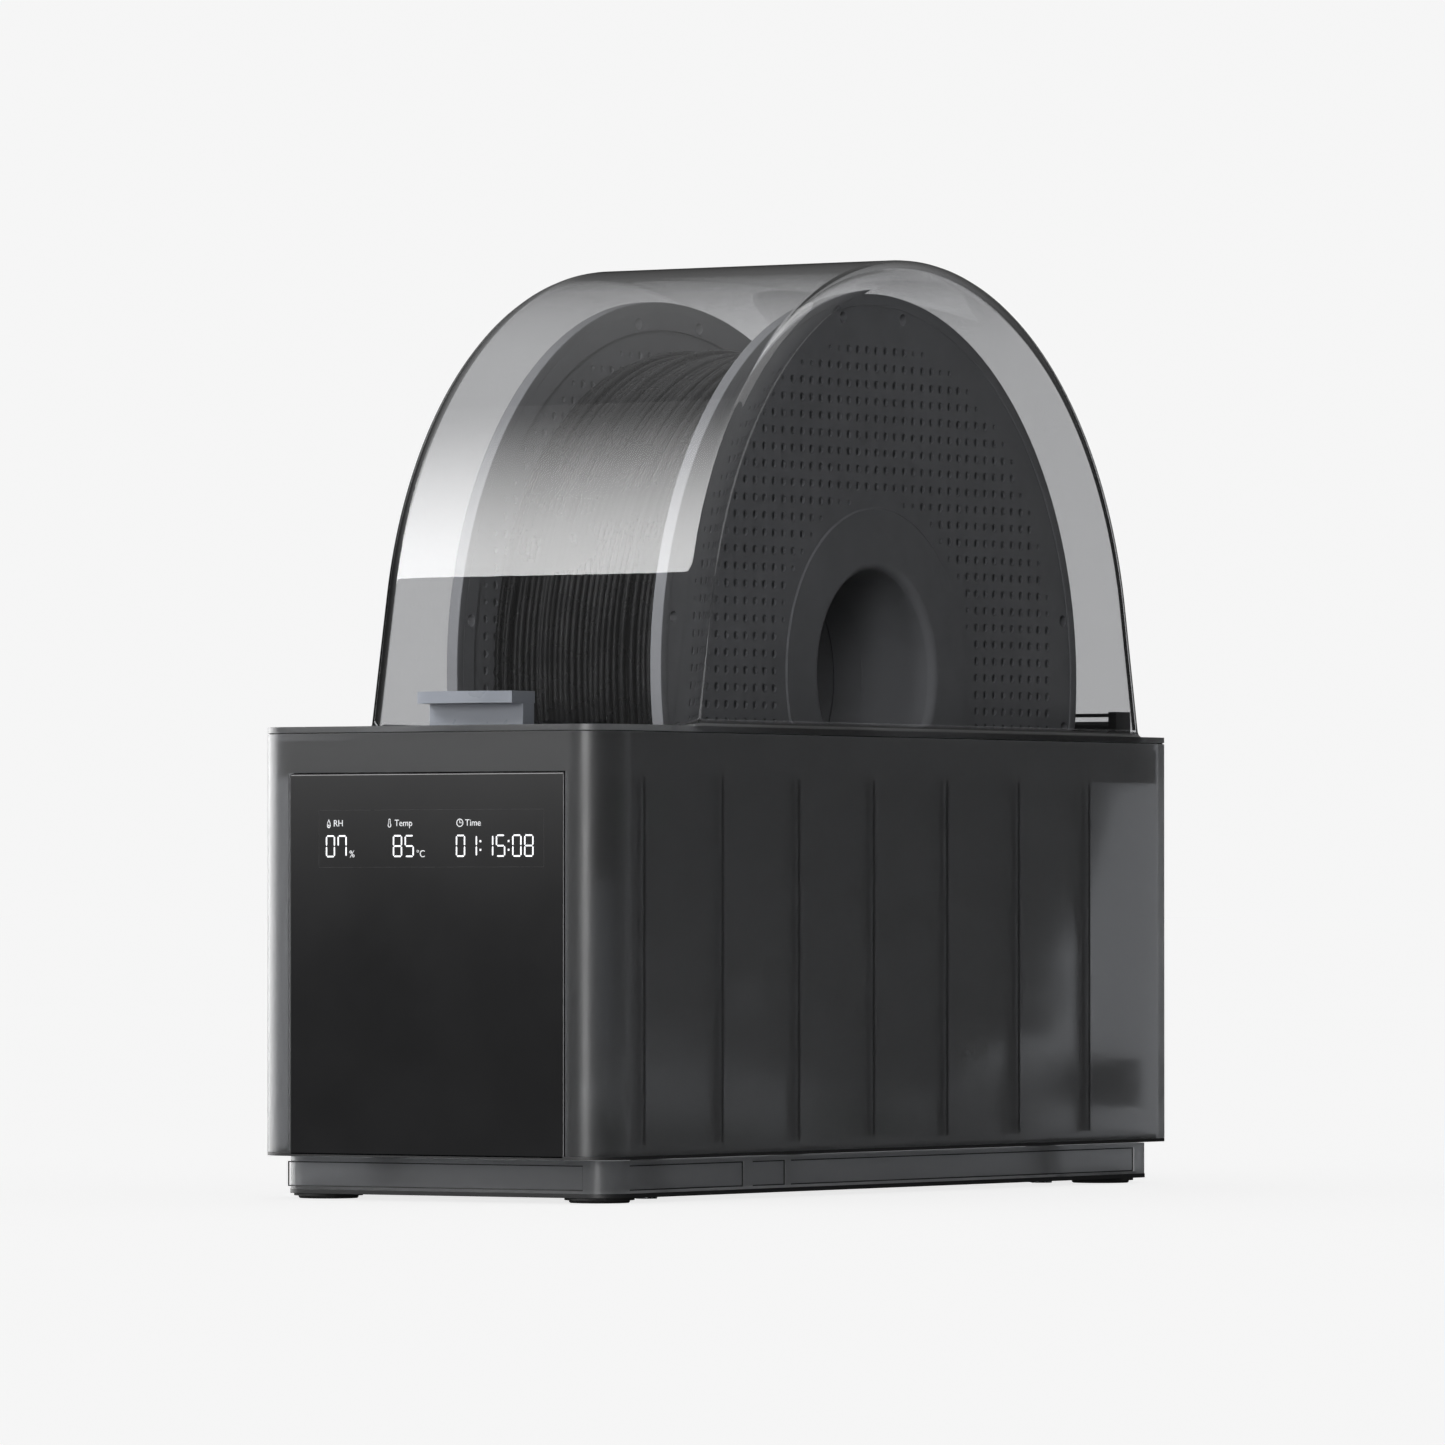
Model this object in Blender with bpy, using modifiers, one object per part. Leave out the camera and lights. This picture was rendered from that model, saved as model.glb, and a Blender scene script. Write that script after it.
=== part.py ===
"""Filament dryer box for one 200 mm spool: a ribbed translucent shell on a plinth, with a clear dome lid.

Driving dimensions are in millimetres. +Z is up and the display faces -Y. The dimensions are measured from the
floor under the middle of the shell; the last step moves the origin under the middle of the overall box.
"""

import math

import bmesh
import bpy
from mathutils import Matrix, Vector

MM = 0.001
GAP = 0.3  # clearance between neighbouring pieces

# Shell
SHELL_X, SHELL_Y = 55.0, 135.0  # half width and half length
SHELL_BOTTOM, SHELL_TOP = 11.0, 118.3
SHELL_WALL = 2.2
FRONT_RADIUS, REAR_RADIUS = 12.0, 1.0
WINDOW_X, WINDOW_TOP = 42.6, 108.4  # opening for the front panel
RIB_PITCH, RIB_FIRST_Y, RIB_COUNT = 35.56, -117.36, 7
RIB_INNER_X, RIB_TOP, RIB_HALF = 47.8, 107.0, 0.6

# Plinth, base plate and feet
PLINTH_X, PLINTH_FRONT, PLINTH_REAR = 51.1, -127.3, 130.9
PLINTH_BOTTOM, PLINTH_TOP, PLINTH_RADIUS = 1.6, 10.7, 7.7
PLINTH_FLOOR = 2.0
BASE_TOP = 12.9
FEET = {
    "foot_front_left": (-41.8, -118.5),
    "foot_front_right": (41.8, -118.5),
    "foot_rear_left": (-42.5, 121.5),
    "foot_rear_right": (42.5, 121.5),
}
SCREW_X, SCREW_Y = 40.0, 95.0

# Front panel and display
PANEL_X, PANEL_TOP, PANEL_THICK = 42.3, 108.1, 2.1
DISPLAY_X0, DISPLAY_X1, DISPLAY_Z0, DISPLAY_Z1 = -33.1, 36.2, 84.3, 98.9

# Spool and the rollers that carry it
SPOOL_Y, SPOOL_Z, SPOOL_R, SPOOL_HALF = 22.6, 135.4, 100.0, 33.4
FLANGE_THICK, HUB_BORE_R, HUB_R, WINDING_R = 3.5, 27.4, 39.5, 86.5
ROLLER_R, ROLLER_ANGLE = 9.0, math.radians(40.0)
SHAFT_R, TYRE_X0, TYRE_X1 = 2.5, 28.5, 34.5
ROLLER_REACH = SPOOL_R + ROLLER_R + GAP
ROLLER_DY, ROLLER_Z = ROLLER_REACH * math.sin(ROLLER_ANGLE), SPOOL_Z - ROLLER_REACH * math.cos(ROLLER_ANGLE)
DRIVE_YZ = (SPOOL_Y + ROLLER_DY, ROLLER_Z)
IDLE_YZ = (SPOOL_Y - ROLLER_DY, ROLLER_Z)
MOTOR_YZ = (118.0, 25.5)
PULLEY_R, MOTOR_PULLEY_R = 8.0, 5.0
BELT_X0, BELT_X1 = -45.8, -41.8

# Inner tub, which curves round the spool, and the deck that closes the gap around it
TUB_X, TUB_WALL, TUB_TOP, TUB_R = 38.8, 1.8, 114.3, 106.5
WELL_R = 10.5  # pocket in the tub round each roller
DECK_BOTTOM, DECK_TOP, DECK_PLATE = 107.6, 116.6, 2.0
DECK_OPEN_X, DECK_OPEN_Y0, DECK_OPEN_Y1 = 37.3, -81.5, 127.0

# Lid
LID_BOTTOM, LID_TOP = 118.6, 120.1  # flange
DOME_X, DOME_Y, DOME_Z = 50.7, 20.5, 134.2  # half width, and the centre of the arch
DOME_RY, DOME_RZ, DOME_START = 106.7, 109.6, 0.199
DOME_WALL, DOME_EDGE = 2.0, 5.6
HINGE_Y, HINGE_Z, KNUCKLE_R, KNUCKLE_BORE, PIN_R = 138.0, 119.3, 2.6, 1.6, 1.2

# Rear fittings
OUTLET_Z, COLLET_END = 25.0, 143.7
VENT_X0, VENT_X1, VENT_Z0, VENT_Z1 = -51.2, -42.0, 60.4, 89.6
VENT_HINGE_Y, VENT_HINGE_Z = 131.6, 88.6

# Filament guide
GUIDE_X, GUIDE_Y, GUIDE_Z = 47.9, 124.6, 122.6

# Feeder
FEEDER_Y, FEED_WHEEL_R, FEED_WHEEL_OFFSET = 119.0, 4.0, 4.9

# Fan and heater
FAN_Y0, FAN_Y1, FAN_Z, FAN_HALF, FAN_BORE_R = -121.0, -107.0, 60.0, 30.0, 27.0

# The local axes of a flat outline that is extruded along a world axis
OUTLINE_AXES = {
    "X": Matrix(((0, 0, 1, 0), (1, 0, 0, 0), (0, 1, 0, 0), (0, 0, 0, 1))),
    "Y": Matrix(((1, 0, 0, 0), (0, 0, -1, 0), (0, 1, 0, 0), (0, 0, 0, 1))),
    "Z": Matrix.Identity(4),
}


def clear_scene():
    for obj in list(bpy.data.objects):
        bpy.data.objects.remove(obj, do_unlink=True)


def new_collection(name):
    made = bpy.data.collections.new(name)
    bpy.context.scene.collection.children.link(made)
    return made


clear_scene()
PARTS = new_collection("filament_dryer_box")
CUTTERS = new_collection("cutters")


def material(name, colour, roughness, metallic=0.0, alpha=1.0):
    made = bpy.data.materials.new(name)
    made.use_nodes = True
    shader = made.node_tree.nodes["Principled BSDF"]
    shader.inputs["Base Color"].default_value = (*colour, 1.0)
    shader.inputs["Roughness"].default_value = roughness
    shader.inputs["Metallic"].default_value = metallic
    shader.inputs["Alpha"].default_value = alpha
    made.diffuse_color = (*colour, alpha)
    return made


def mesh_object(name, mesh, matrix):
    made = bpy.data.objects.new(name, mesh)
    PARTS.objects.link(made)
    made.matrix_world = matrix
    return made


def along(axis, lo, hi):
    """The shift that puts the middle of an extrusion between lo and hi on a world axis."""
    middle = (lo + hi) / 2 * MM
    return Matrix.Translation([middle if axis == letter else 0.0 for letter in "XYZ"])


def prism(name, outlines, axis, lo, hi):
    """A flat outline, with any further outlines as holes, extruded from lo to hi along a world axis."""
    curve = bpy.data.curves.new(name, "CURVE")
    curve.dimensions = "2D"
    curve.fill_mode = "BOTH"
    curve.extrude = (hi - lo) / 2 * MM
    for outline in outlines:
        spline = curve.splines.new("POLY")
        spline.points.add(len(outline) - 1)
        spline.use_cyclic_u = True
        for point, (u, v) in zip(spline.points, outline):
            point.co = (u * MM, v * MM, 0.0, 1.0)
    source = bpy.data.objects.new(name + "_curve", curve)
    PARTS.objects.link(source)
    source.matrix_world = along(axis, lo, hi) @ OUTLINE_AXES[axis]
    return baked(source, name)


def baked(source, name):
    """The object's evaluated shape as a closed mesh, in place of the object."""
    bpy.context.view_layer.update()
    mesh = bpy.data.meshes.new_from_object(source.evaluated_get(bpy.context.evaluated_depsgraph_get()))
    matrix = source.matrix_world.copy()
    bpy.data.objects.remove(source, do_unlink=True)
    shape = bmesh.new()
    shape.from_mesh(mesh)
    bmesh.ops.remove_doubles(shape, verts=shape.verts, dist=1e-6)
    bmesh.ops.recalc_face_normals(shape, faces=shape.faces)
    shape.to_mesh(mesh)
    shape.free()
    mesh.name = name
    return mesh_object(name, mesh, matrix)


def boxes(name, corners):
    """One mesh of boxes, each given by its lowest and highest corner."""
    shape = bmesh.new()
    for lo, hi in corners:
        low, high = Vector(lo) * MM, Vector(hi) * MM
        placed = Matrix.Translation((low + high) / 2) @ Matrix.Diagonal((*(high - low), 1.0))
        bmesh.ops.create_cube(shape, size=1.0, matrix=placed)
    mesh = bpy.data.meshes.new(name)
    shape.to_mesh(mesh)
    shape.free()
    return mesh_object(name, mesh, Matrix.Identity(4))


def box(name, lo, hi):
    return boxes(name, [(lo, hi)])


def circle(centre, radius, steps):
    turn = 2 * math.pi / steps
    return [(centre[0] + radius * math.cos(i * turn), centre[1] + radius * math.sin(i * turn)) for i in range(steps)]


def disc(name, axis, centre, radius, lo, hi, bore=0.0, steps=24):
    """A cylinder along a world axis, or a ring where bore isn't 0. centre holds the other two coordinates."""
    outlines = [circle(centre, radius, steps)]
    if bore:
        outlines.append(circle(centre, bore, max(12, steps // 2)))
    return prism(name, outlines, axis, lo, hi)


def turned(name, profile, axis, centre, steps=32, ring=False):
    """A profile of (radius, height) points, outer side from top to bottom, turned about a world axis."""
    mesh = bpy.data.meshes.new(name)
    edges = [(i, i + 1) for i in range(len(profile) - 1)]
    if ring:
        edges.append((len(profile) - 1, 0))
    mesh.from_pydata([(r * MM, 0.0, h * MM) for r, h in profile], edges, [])
    u, v = centre
    place, turn = {
        "X": ((0.0, u, v), Matrix.Rotation(math.pi / 2, 4, "Y")),
        "Y": ((u, 0.0, v), Matrix.Rotation(-math.pi / 2, 4, "X")),
        "Z": ((u, v, 0.0), Matrix.Identity(4)),
    }[axis]
    source = mesh_object(name + "_profile", mesh, Matrix.Translation(Vector(place) * MM) @ turn)
    screw = source.modifiers.new("turn", "SCREW")
    screw.axis = "Z"
    screw.angle = 2 * math.pi
    screw.steps = screw.render_steps = steps
    screw.use_merge_vertices = True
    screw.merge_threshold = 1e-6
    return baked(source, name)


def rounded(x0, y0, x1, y1, front, rear, steps=6):
    """A rectangle's outline whose corners at y0 have the radius front and those at y1 the radius rear."""
    outline = []
    corners = ((x1, y0, front, -90), (x1, y1, rear, 0), (x0, y1, rear, 90), (x0, y0, front, 180))
    for x, y, radius, start in corners:
        if radius == 0:
            outline.append((x, y))
            continue
        cx = x - radius if x == x1 else x + radius
        cy = y - radius if y == y1 else y + radius
        count = steps if radius > 2 else 2
        for i in range(count + 1):
            angle = math.radians(start + 90 * i / count)
            outline.append((cx + radius * math.cos(angle), cy + radius * math.sin(angle)))
    return outline


def shell_outline(inset):
    """The shell's plan outline, moved inwards."""
    return rounded(
        -SHELL_X + inset, -SHELL_Y + inset, SHELL_X - inset, SHELL_Y - inset,
        FRONT_RADIUS - inset, max(REAR_RADIUS - inset, 0),
    )


def as_tool(tool):
    PARTS.objects.unlink(tool)
    CUTTERS.objects.link(tool)
    tool.hide_render = True
    tool.display_type = "WIRE"


def boolean(target, tool, operation):
    as_tool(tool)
    modifier = target.modifiers.new(tool.name, "BOOLEAN")
    modifier.operation = operation
    modifier.object = tool
    modifier.solver = "EXACT"


def cut(target, *tools):
    for tool in tools:
        boolean(target, tool, "DIFFERENCE")


def join(target, *tools):
    for tool in tools:
        boolean(target, tool, "UNION")


def paint(finish, *objects):
    """Gives each piece its own copy of a finish, named after the piece."""
    for obj in objects:
        own = finish.copy()
        own.name = obj.name
        obj.data.materials.clear()
        obj.data.materials.append(own)
        obj.data.shade_smooth()
        obj.data.set_sharp_from_angle(angle=math.radians(35))


def pivot(name, x, y, z):
    """An empty on a joint's axis, which the joint's pieces are parented to."""
    made = bpy.data.objects.new(name, None)
    PARTS.objects.link(made)
    made.location = Vector((x, y, z)) * MM
    bpy.context.view_layer.update()
    return made


def hang(empty, *objects):
    for obj in objects:
        obj.parent = empty
        obj.matrix_parent_inverse = empty.matrix_world.inverted()


SMOKED_SHELL = material("smoked_shell", (0.05, 0.052, 0.055), 0.45, alpha=0.6)
CLEAR_SMOKE = material("clear_smoke", (0.35, 0.36, 0.37), 0.05, alpha=0.35)
GLOSS_BLACK = material("gloss_black", (0.012, 0.012, 0.013), 0.12)
DARK_PLASTIC = material("dark_plastic", (0.03, 0.031, 0.033), 0.5)
SPOOL_PLASTIC = material("spool_plastic", (0.045, 0.047, 0.05), 0.5)
FILAMENT = material("filament", (0.012, 0.012, 0.012), 0.4)
RUBBER = material("rubber", (0.015, 0.015, 0.015), 0.8)
STEEL = material("steel", (0.55, 0.55, 0.56), 0.3, 1.0)
GREY_METAL = material("grey_metal", (0.3, 0.32, 0.35), 0.35, 0.6)
BOARD = material("board", (0.02, 0.1, 0.04), 0.5)
FOAM = material("foam", (0.07, 0.07, 0.07), 0.9)
PALE_PLASTIC = material("pale_plastic", (0.7, 0.7, 0.68), 0.4)


def build_shell():
    shell = prism("outer_shell", [shell_outline(0), shell_outline(SHELL_WALL)], "Z", SHELL_BOTTOM, SHELL_TOP)
    ribs = []
    for i in range(RIB_COUNT):
        y = RIB_FIRST_Y + i * RIB_PITCH
        for x0, x1 in ((RIB_INNER_X, SHELL_X - 1), (-SHELL_X + 1, -RIB_INNER_X)):
            ribs.append(((x0, y - RIB_HALF, BASE_TOP + GAP), (x1, y + RIB_HALF, RIB_TOP)))
    join(shell, boxes("shell_ribs", ribs))
    openings = [
        ((-WINDOW_X, -140, 0), (WINDOW_X, -131, WINDOW_TOP)),
        ((29.7, 131, 19.7), (46.3, 140, 34.3)),
        ((17.7, 131, 21.7), (26.3, 140, 30.3)),
        ((VENT_X0 - 0.4, 131, VENT_Z0 - 0.4), (VENT_X1 + 0.4, 140, VENT_Z1 + 0.4)),
    ]
    cut(shell, boxes("shell_openings", openings), disc("outlet_hole", "Y", (0, OUTLET_Z), 6.3, 131, 140))
    paint(SMOKED_SHELL, shell)


def build_front():
    back = -SHELL_Y + PANEL_THICK
    panel = box("front_panel", (-PANEL_X, -SHELL_Y, SHELL_BOTTOM), (PANEL_X, back, PANEL_TOP))
    paint(GLOSS_BLACK, panel)
    carrier = box("front_carrier", (-44.0, back + 0.5, BASE_TOP + GAP), (44.0, back + 2.3, RIB_TOP))
    margin = 0.6
    window = (
        (DISPLAY_X0 - margin, -140, DISPLAY_Z0 - margin),
        (DISPLAY_X1 + margin, -120, DISPLAY_Z1 + margin),
    )
    cut(carrier, boxes("carrier_window", [window]))
    paint(DARK_PLASTIC, carrier)
    module = box("display_module", (DISPLAY_X0, back + 0.35, DISPLAY_Z0), (DISPLAY_X1, -127.5, DISPLAY_Z1))
    paint(GLOSS_BLACK, module)
    board = box("display_board", (-36, -127.1, 78), (38, -125.5, 104))
    paint(BOARD, board)


def screw_posts():
    return [(x, y) for x in (-SCREW_X, SCREW_X) for y in (-SCREW_Y, SCREW_Y)]


def build_base():
    outer = rounded(-PLINTH_X, PLINTH_FRONT, PLINTH_X, PLINTH_REAR, PLINTH_RADIUS, REAR_RADIUS)
    plinth = prism("plinth", [outer], "Z", PLINTH_BOTTOM, PLINTH_TOP)
    wall = SHELL_WALL
    inner = rounded(
        -PLINTH_X + wall, PLINTH_FRONT + wall, PLINTH_X - wall, PLINTH_REAR - wall, PLINTH_RADIUS - wall, 0
    )
    cut(plinth, prism("plinth_hollow", [inner], "Z", PLINTH_BOTTOM + PLINTH_FLOOR, 15))
    base = prism("base_plate", [shell_outline(SHELL_WALL + 0.4)], "Z", SHELL_BOTTOM + 0.1, BASE_TOP)
    for i, (x, y) in enumerate(screw_posts()):
        join(plinth, disc(f"screw_boss_{i}", "Z", (x, y), 4.0, PLINTH_BOTTOM + 1, PLINTH_TOP, steps=16))
    for i, (x, y) in enumerate(screw_posts()):
        cut(plinth, disc(f"plinth_hole_{i}", "Z", (x, y), 1.9, 0, 15, steps=12))
        cut(base, disc(f"base_hole_{i}", "Z", (x, y), 1.9, 5, 15, steps=12))
        screw = disc(f"plinth_screw_{i + 1}", "Z", (x, y), 3.0, 0.5, 1.3, steps=16)
        join(screw, disc(f"screw_shank_{i}", "Z", (x, y), 1.5, 1.0, 12.3, steps=12))
        paint(STEEL, screw)
    paint(SMOKED_SHELL, plinth)
    paint(DARK_PLASTIC, base)
    profile = [(0, 1.3), (8.85, 1.3), (8.85, 0.7), (7.7, 0.7), (7.7, 0.3), (7.4, 0), (0, 0)]
    for name, place in FEET.items():
        paint(RUBBER, turned(name, profile, "Z", place, steps=24))


def trough(radius, top):
    """The side outline of a half-round trough that follows the spool, open at the height top."""
    rise = max(SPOOL_Z - top, 0)
    lean = math.asin(rise / radius)
    steps = 24
    outline = []
    for i in range(steps + 1):
        angle = math.pi + lean + (math.pi - 2 * lean) * i / steps
        outline.append((SPOOL_Y + radius * math.cos(angle), SPOOL_Z + radius * math.sin(angle)))
    return outline


def build_tub():
    outer = TUB_R + TUB_WALL
    tub = prism("chamber_tub", [trough(outer, TUB_TOP)], "X", -TUB_X, TUB_X)
    hollow = prism("tub_hollow", [trough(TUB_R, TUB_TOP + 3)], "X", -TUB_X + TUB_WALL, TUB_X - TUB_WALL)
    for name, centre in (("drive", DRIVE_YZ), ("idle", IDLE_YZ)):
        join(tub, disc(f"{name}_well", "X", centre, WELL_R + TUB_WALL, -TUB_X, TUB_X, steps=24))
        join(hollow, disc(f"{name}_well_hollow", "X", centre, WELL_R, -TUB_X + TUB_WALL, TUB_X - TUB_WALL, steps=24))
    cut(tub, baked(hollow, "tub_hollow"))
    slots = [((-28, -90, z), (28, -70, z + 3)) for z in (84, 91, 98)]
    slots.append(((-4, 104, 40), (4, 122, 75)))
    cut(tub, boxes("tub_slots", slots))
    for name, centre in (("drive", DRIVE_YZ), ("idle", IDLE_YZ)):
        cut(tub, disc(f"{name}_bush_seat", "X", centre, 5.3, -45, 45, steps=16))
    paint(DARK_PLASTIC, tub)
    side = trough(outer - 1.0, 104.0)
    right = prism("insulation_right", [side], "X", TUB_X + GAP, 40.7)
    left = prism("insulation_left", [side], "X", -41.5, -TUB_X - GAP)
    cut(left, disc("insulation_notch", "X", DRIVE_YZ, SHAFT_R + 1.5, -45, -35, steps=12))
    paint(FOAM, right, left)


def build_deck():
    inset = SHELL_WALL + 0.4
    deck = prism("deck_frame", [shell_outline(inset)], "Z", DECK_BOTTOM, DECK_TOP)
    cut(deck, prism("deck_hollow", [shell_outline(inset + 2)], "Z", 100, DECK_TOP - DECK_PLATE))
    through = [
        ((-DECK_OPEN_X, DECK_OPEN_Y0, 100), (DECK_OPEN_X, DECK_OPEN_Y1, 130)),
        ((-8, -118, 110), (8, -103.5, 130)),
    ]
    cut(deck, boxes("deck_openings", through))
    paint(DARK_PLASTIC, deck)
    seal = [
        rounded(-52.0, -93.6, 52.0, 132.2, 3, 0),
        rounded(-49.3, -90.9, 49.3, 130.2, 3, 0),
    ]
    paint(RUBBER, prism("deck_gasket", seal, "Z", DECK_TOP + GAP, LID_BOTTOM - GAP))
    paint(STEEL, box("catch_plate", (-9, -129.8, 112.4), (9, -114.0, 113.9)))


def arch(shrink, bottom):
    """The dome's side outline: an ellipse over tangent lines that run down to the height bottom."""
    ry, rz = DOME_RY - shrink, DOME_RZ - shrink
    steps = 28
    points = []
    for i in range(steps + 1):
        angle = DOME_START + (math.pi - 2 * DOME_START) * i / steps
        points.append((DOME_Y + ry * math.cos(angle), DOME_Z + rz * math.sin(angle)))
    slope = ry / rz * math.tan(DOME_START)
    run = slope * (points[0][1] - bottom)
    return [(points[0][0] + run, bottom), *points, (points[-1][0] - run, bottom)]


def dome_solid(name, shrink):
    """The arch as a solid with rounded side edges, reaching well below the flange."""
    solid = prism(name, [arch(shrink, 105)], "X", -DOME_X + shrink, DOME_X - shrink)
    bevel = solid.modifiers.new("edge", "BEVEL")
    bevel.width = (DOME_EDGE - shrink) * MM
    bevel.segments = 3
    bevel.limit_method = "ANGLE"
    bevel.angle_limit = math.radians(60)
    return baked(solid, name)


def build_lid():
    lid = prism("lid_dome", [shell_outline(0)], "Z", LID_BOTTOM, LID_TOP)
    outside = dome_solid("dome_outside", 0)
    cut(outside, box("below_flange", (-80, -160, 90), (80, 160, LID_BOTTOM + 0.7)))
    outside = baked(outside, "dome_outside")
    join(lid, outside)
    cut(lid, dome_solid("dome_inside", DOME_WALL))
    for i, (x0, x1) in enumerate(((-23.7, -6.3), (6.3, 23.7))):
        join(lid, box(f"lid_arm_{i}", (x0, 134.2, LID_BOTTOM), (x1, HINGE_Y, LID_TOP)))
        join(lid, disc(f"lid_knuckle_{i}", "X", (HINGE_Y, HINGE_Z), KNUCKLE_R, x0, x1, steps=16))
    join(lid, box("spring_lug", (-3, -105.2, 113), (3, -104.0, LID_BOTTOM + 0.7)))
    cut(lid, box("tab_slot", (-5.4, -111.6, 117), (5.4, -106.6, 121)))
    cut(lid, disc("lid_pin_bore", "X", (HINGE_Y, HINGE_Z), KNUCKLE_BORE, -50, 50, steps=16))
    paint(CLEAR_SMOKE, lid)
    return lid


def build_hinge():
    bracket = box("hinge_bracket", (-36, SHELL_Y + GAP, 106), (36, SHELL_Y + 1.5, 116))
    for i, (x0, x1) in enumerate(((-36, -24), (-6, 6), (24, 36))):
        join(bracket, box(f"bracket_arm_{i}", (x0, SHELL_Y + GAP, 112), (x1, HINGE_Y, 118.2)))
        join(bracket, disc(f"bracket_knuckle_{i}", "X", (HINGE_Y, HINGE_Z), KNUCKLE_R, x0, x1, steps=16))
    cut(bracket, disc("bracket_pin_bore", "X", (HINGE_Y, HINGE_Z), KNUCKLE_BORE, -50, 50, steps=16))
    paint(DARK_PLASTIC, bracket)
    paint(STEEL, disc("hinge_pin", "X", (HINGE_Y, HINGE_Z), PIN_R, -36.5, 36.5, steps=12))


def build_tab():
    front, rear, half, bulge = -117.9, -107.6, 14.6, 2.3
    lip = [(half, rear), (-half, rear)]
    steps = 10
    for i in range(steps + 1):
        t = -1 + 2 * i / steps
        lip.append((half * t, front - bulge * (1 - t * t)))
    tab = prism("release_tab", [lip], "Z", 126.0, 129.05)
    join(tab, box("tab_body", (-half, -112.8, LID_TOP + GAP), (half, rear, 126.5)))
    join(tab, box("tab_stem", (-5, -111.2, 110.2), (5, -109.0, 122)))
    join(tab, box("tab_hook", (-5, -113.4, 110.2), (5, -110.0, 112.0)))
    paint(GREY_METAL, tab)
    turns, points, radius = 2, 20, 1.5
    curve = bpy.data.curves.new("tab_spring", "CURVE")
    curve.dimensions = "3D"
    curve.bevel_depth = 0.18 * MM
    curve.bevel_resolution = 0
    curve.use_fill_caps = True
    spline = curve.splines.new("POLY")
    spline.points.add(points)
    for i, point in enumerate(spline.points):
        angle = 2 * math.pi * turns * i / points
        y = -106.5 + 1.0 * i / points
        point.co = (radius * math.cos(angle) * MM, y * MM, (115.3 + radius * math.sin(angle)) * MM, 1.0)
    coil = bpy.data.objects.new("tab_spring_curve", curve)
    PARTS.objects.link(coil)
    spring = baked(coil, "tab_spring")
    paint(STEEL, spring)
    return tab, spring


def build_spool():
    inner, face = SPOOL_HALF - FLANGE_THICK, SPOOL_HALF
    profile = [
        (HUB_BORE_R, face), (SPOOL_R - 0.6, face), (SPOOL_R, face - 0.6), (SPOOL_R, inner),
        (HUB_R, inner), (HUB_R, 0.2), (HUB_BORE_R, 0.2),
    ]
    mirrored = [(r, -h) for r, h in reversed(profile)]
    right = turned("spool_half_right", profile, "X", (SPOOL_Y, SPOOL_Z), steps=48, ring=True)
    left = turned("spool_half_left", mirrored, "X", (SPOOL_Y, SPOOL_Z), steps=48, ring=True)
    paint(SPOOL_PLASTIC, right, left)
    winding = disc(
        "filament_winding", "X", (SPOOL_Y, SPOOL_Z), WINDING_R, -inner + 0.4, inner - 0.4, bore=HUB_R + 0.5, steps=48
    )
    paint(FILAMENT, winding)
    return right, left, winding


def build_roller(name, centre, pulley_end):
    """A shaft with two tyres, and the two bushes in the tub's walls that hold it."""
    end = TUB_X + 0.1
    shaft = disc(f"{name}_shaft", "X", centre, SHAFT_R, pulley_end, end, steps=16)
    paint(STEEL, shaft)
    made = [shaft]
    for side, sign in (("left", -1), ("right", 1)):
        x0, x1 = sorted((sign * TYRE_X0, sign * TYRE_X1))
        tyre = disc(f"{name}_tyre_{side}", "X", centre, ROLLER_R, x0, x1, bore=SHAFT_R + GAP, steps=24)
        paint(RUBBER, tyre)
        made.append(tyre)
        x0, x1 = sorted((sign * 36.7, sign * (TUB_X + 0.1)))
        paint(PALE_PLASTIC, disc(f"{name}_bush_{side}", "X", centre, 5.0, x0, x1, bore=SHAFT_R + GAP, steps=16))
    return made


def belt_outline(extra):
    """The loop round both pulleys: two arcs joined by their outer tangents."""
    (y0, z0), (y1, z1) = DRIVE_YZ, MOTOR_YZ
    r0, r1 = PULLEY_R + extra, MOTOR_PULLEY_R + extra
    heading = math.atan2(z1 - z0, y1 - y0)
    lean = math.acos((r0 - r1) / math.hypot(y1 - y0, z1 - z0))
    outline = []
    steps = 10
    for (y, z, radius, start, sweep) in (
        (y0, z0, r0, heading + lean, 2 * math.pi - 2 * lean),
        (y1, z1, r1, heading - lean, 2 * lean),
    ):
        for i in range(steps + 1):
            angle = start + sweep * i / steps
            outline.append((y + radius * math.cos(angle), z + radius * math.sin(angle)))
    return outline


def build_drive():
    motor = disc("drive_motor", "X", MOTOR_YZ, 9.0, -37.5, -14.0, steps=20)
    join(motor, disc("motor_shaft", "X", MOTOR_YZ, 1.0, -46.2, -36.0, steps=10))
    paint(STEEL, motor)
    belt = prism("drive_belt", [belt_outline(1.3), belt_outline(0.3)], "X", BELT_X0 + 0.4, BELT_X1 - 0.4)
    paint(RUBBER, belt)
    pulley = disc("roller_pulley", "X", DRIVE_YZ, PULLEY_R, BELT_X0, BELT_X1, bore=SHAFT_R + GAP, steps=20)
    motor_pulley = disc("motor_pulley", "X", MOTOR_YZ, MOTOR_PULLEY_R, BELT_X0, BELT_X1, bore=1.3, steps=20)
    paint(PALE_PLASTIC, pulley, motor_pulley)
    return pulley, motor_pulley


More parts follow.
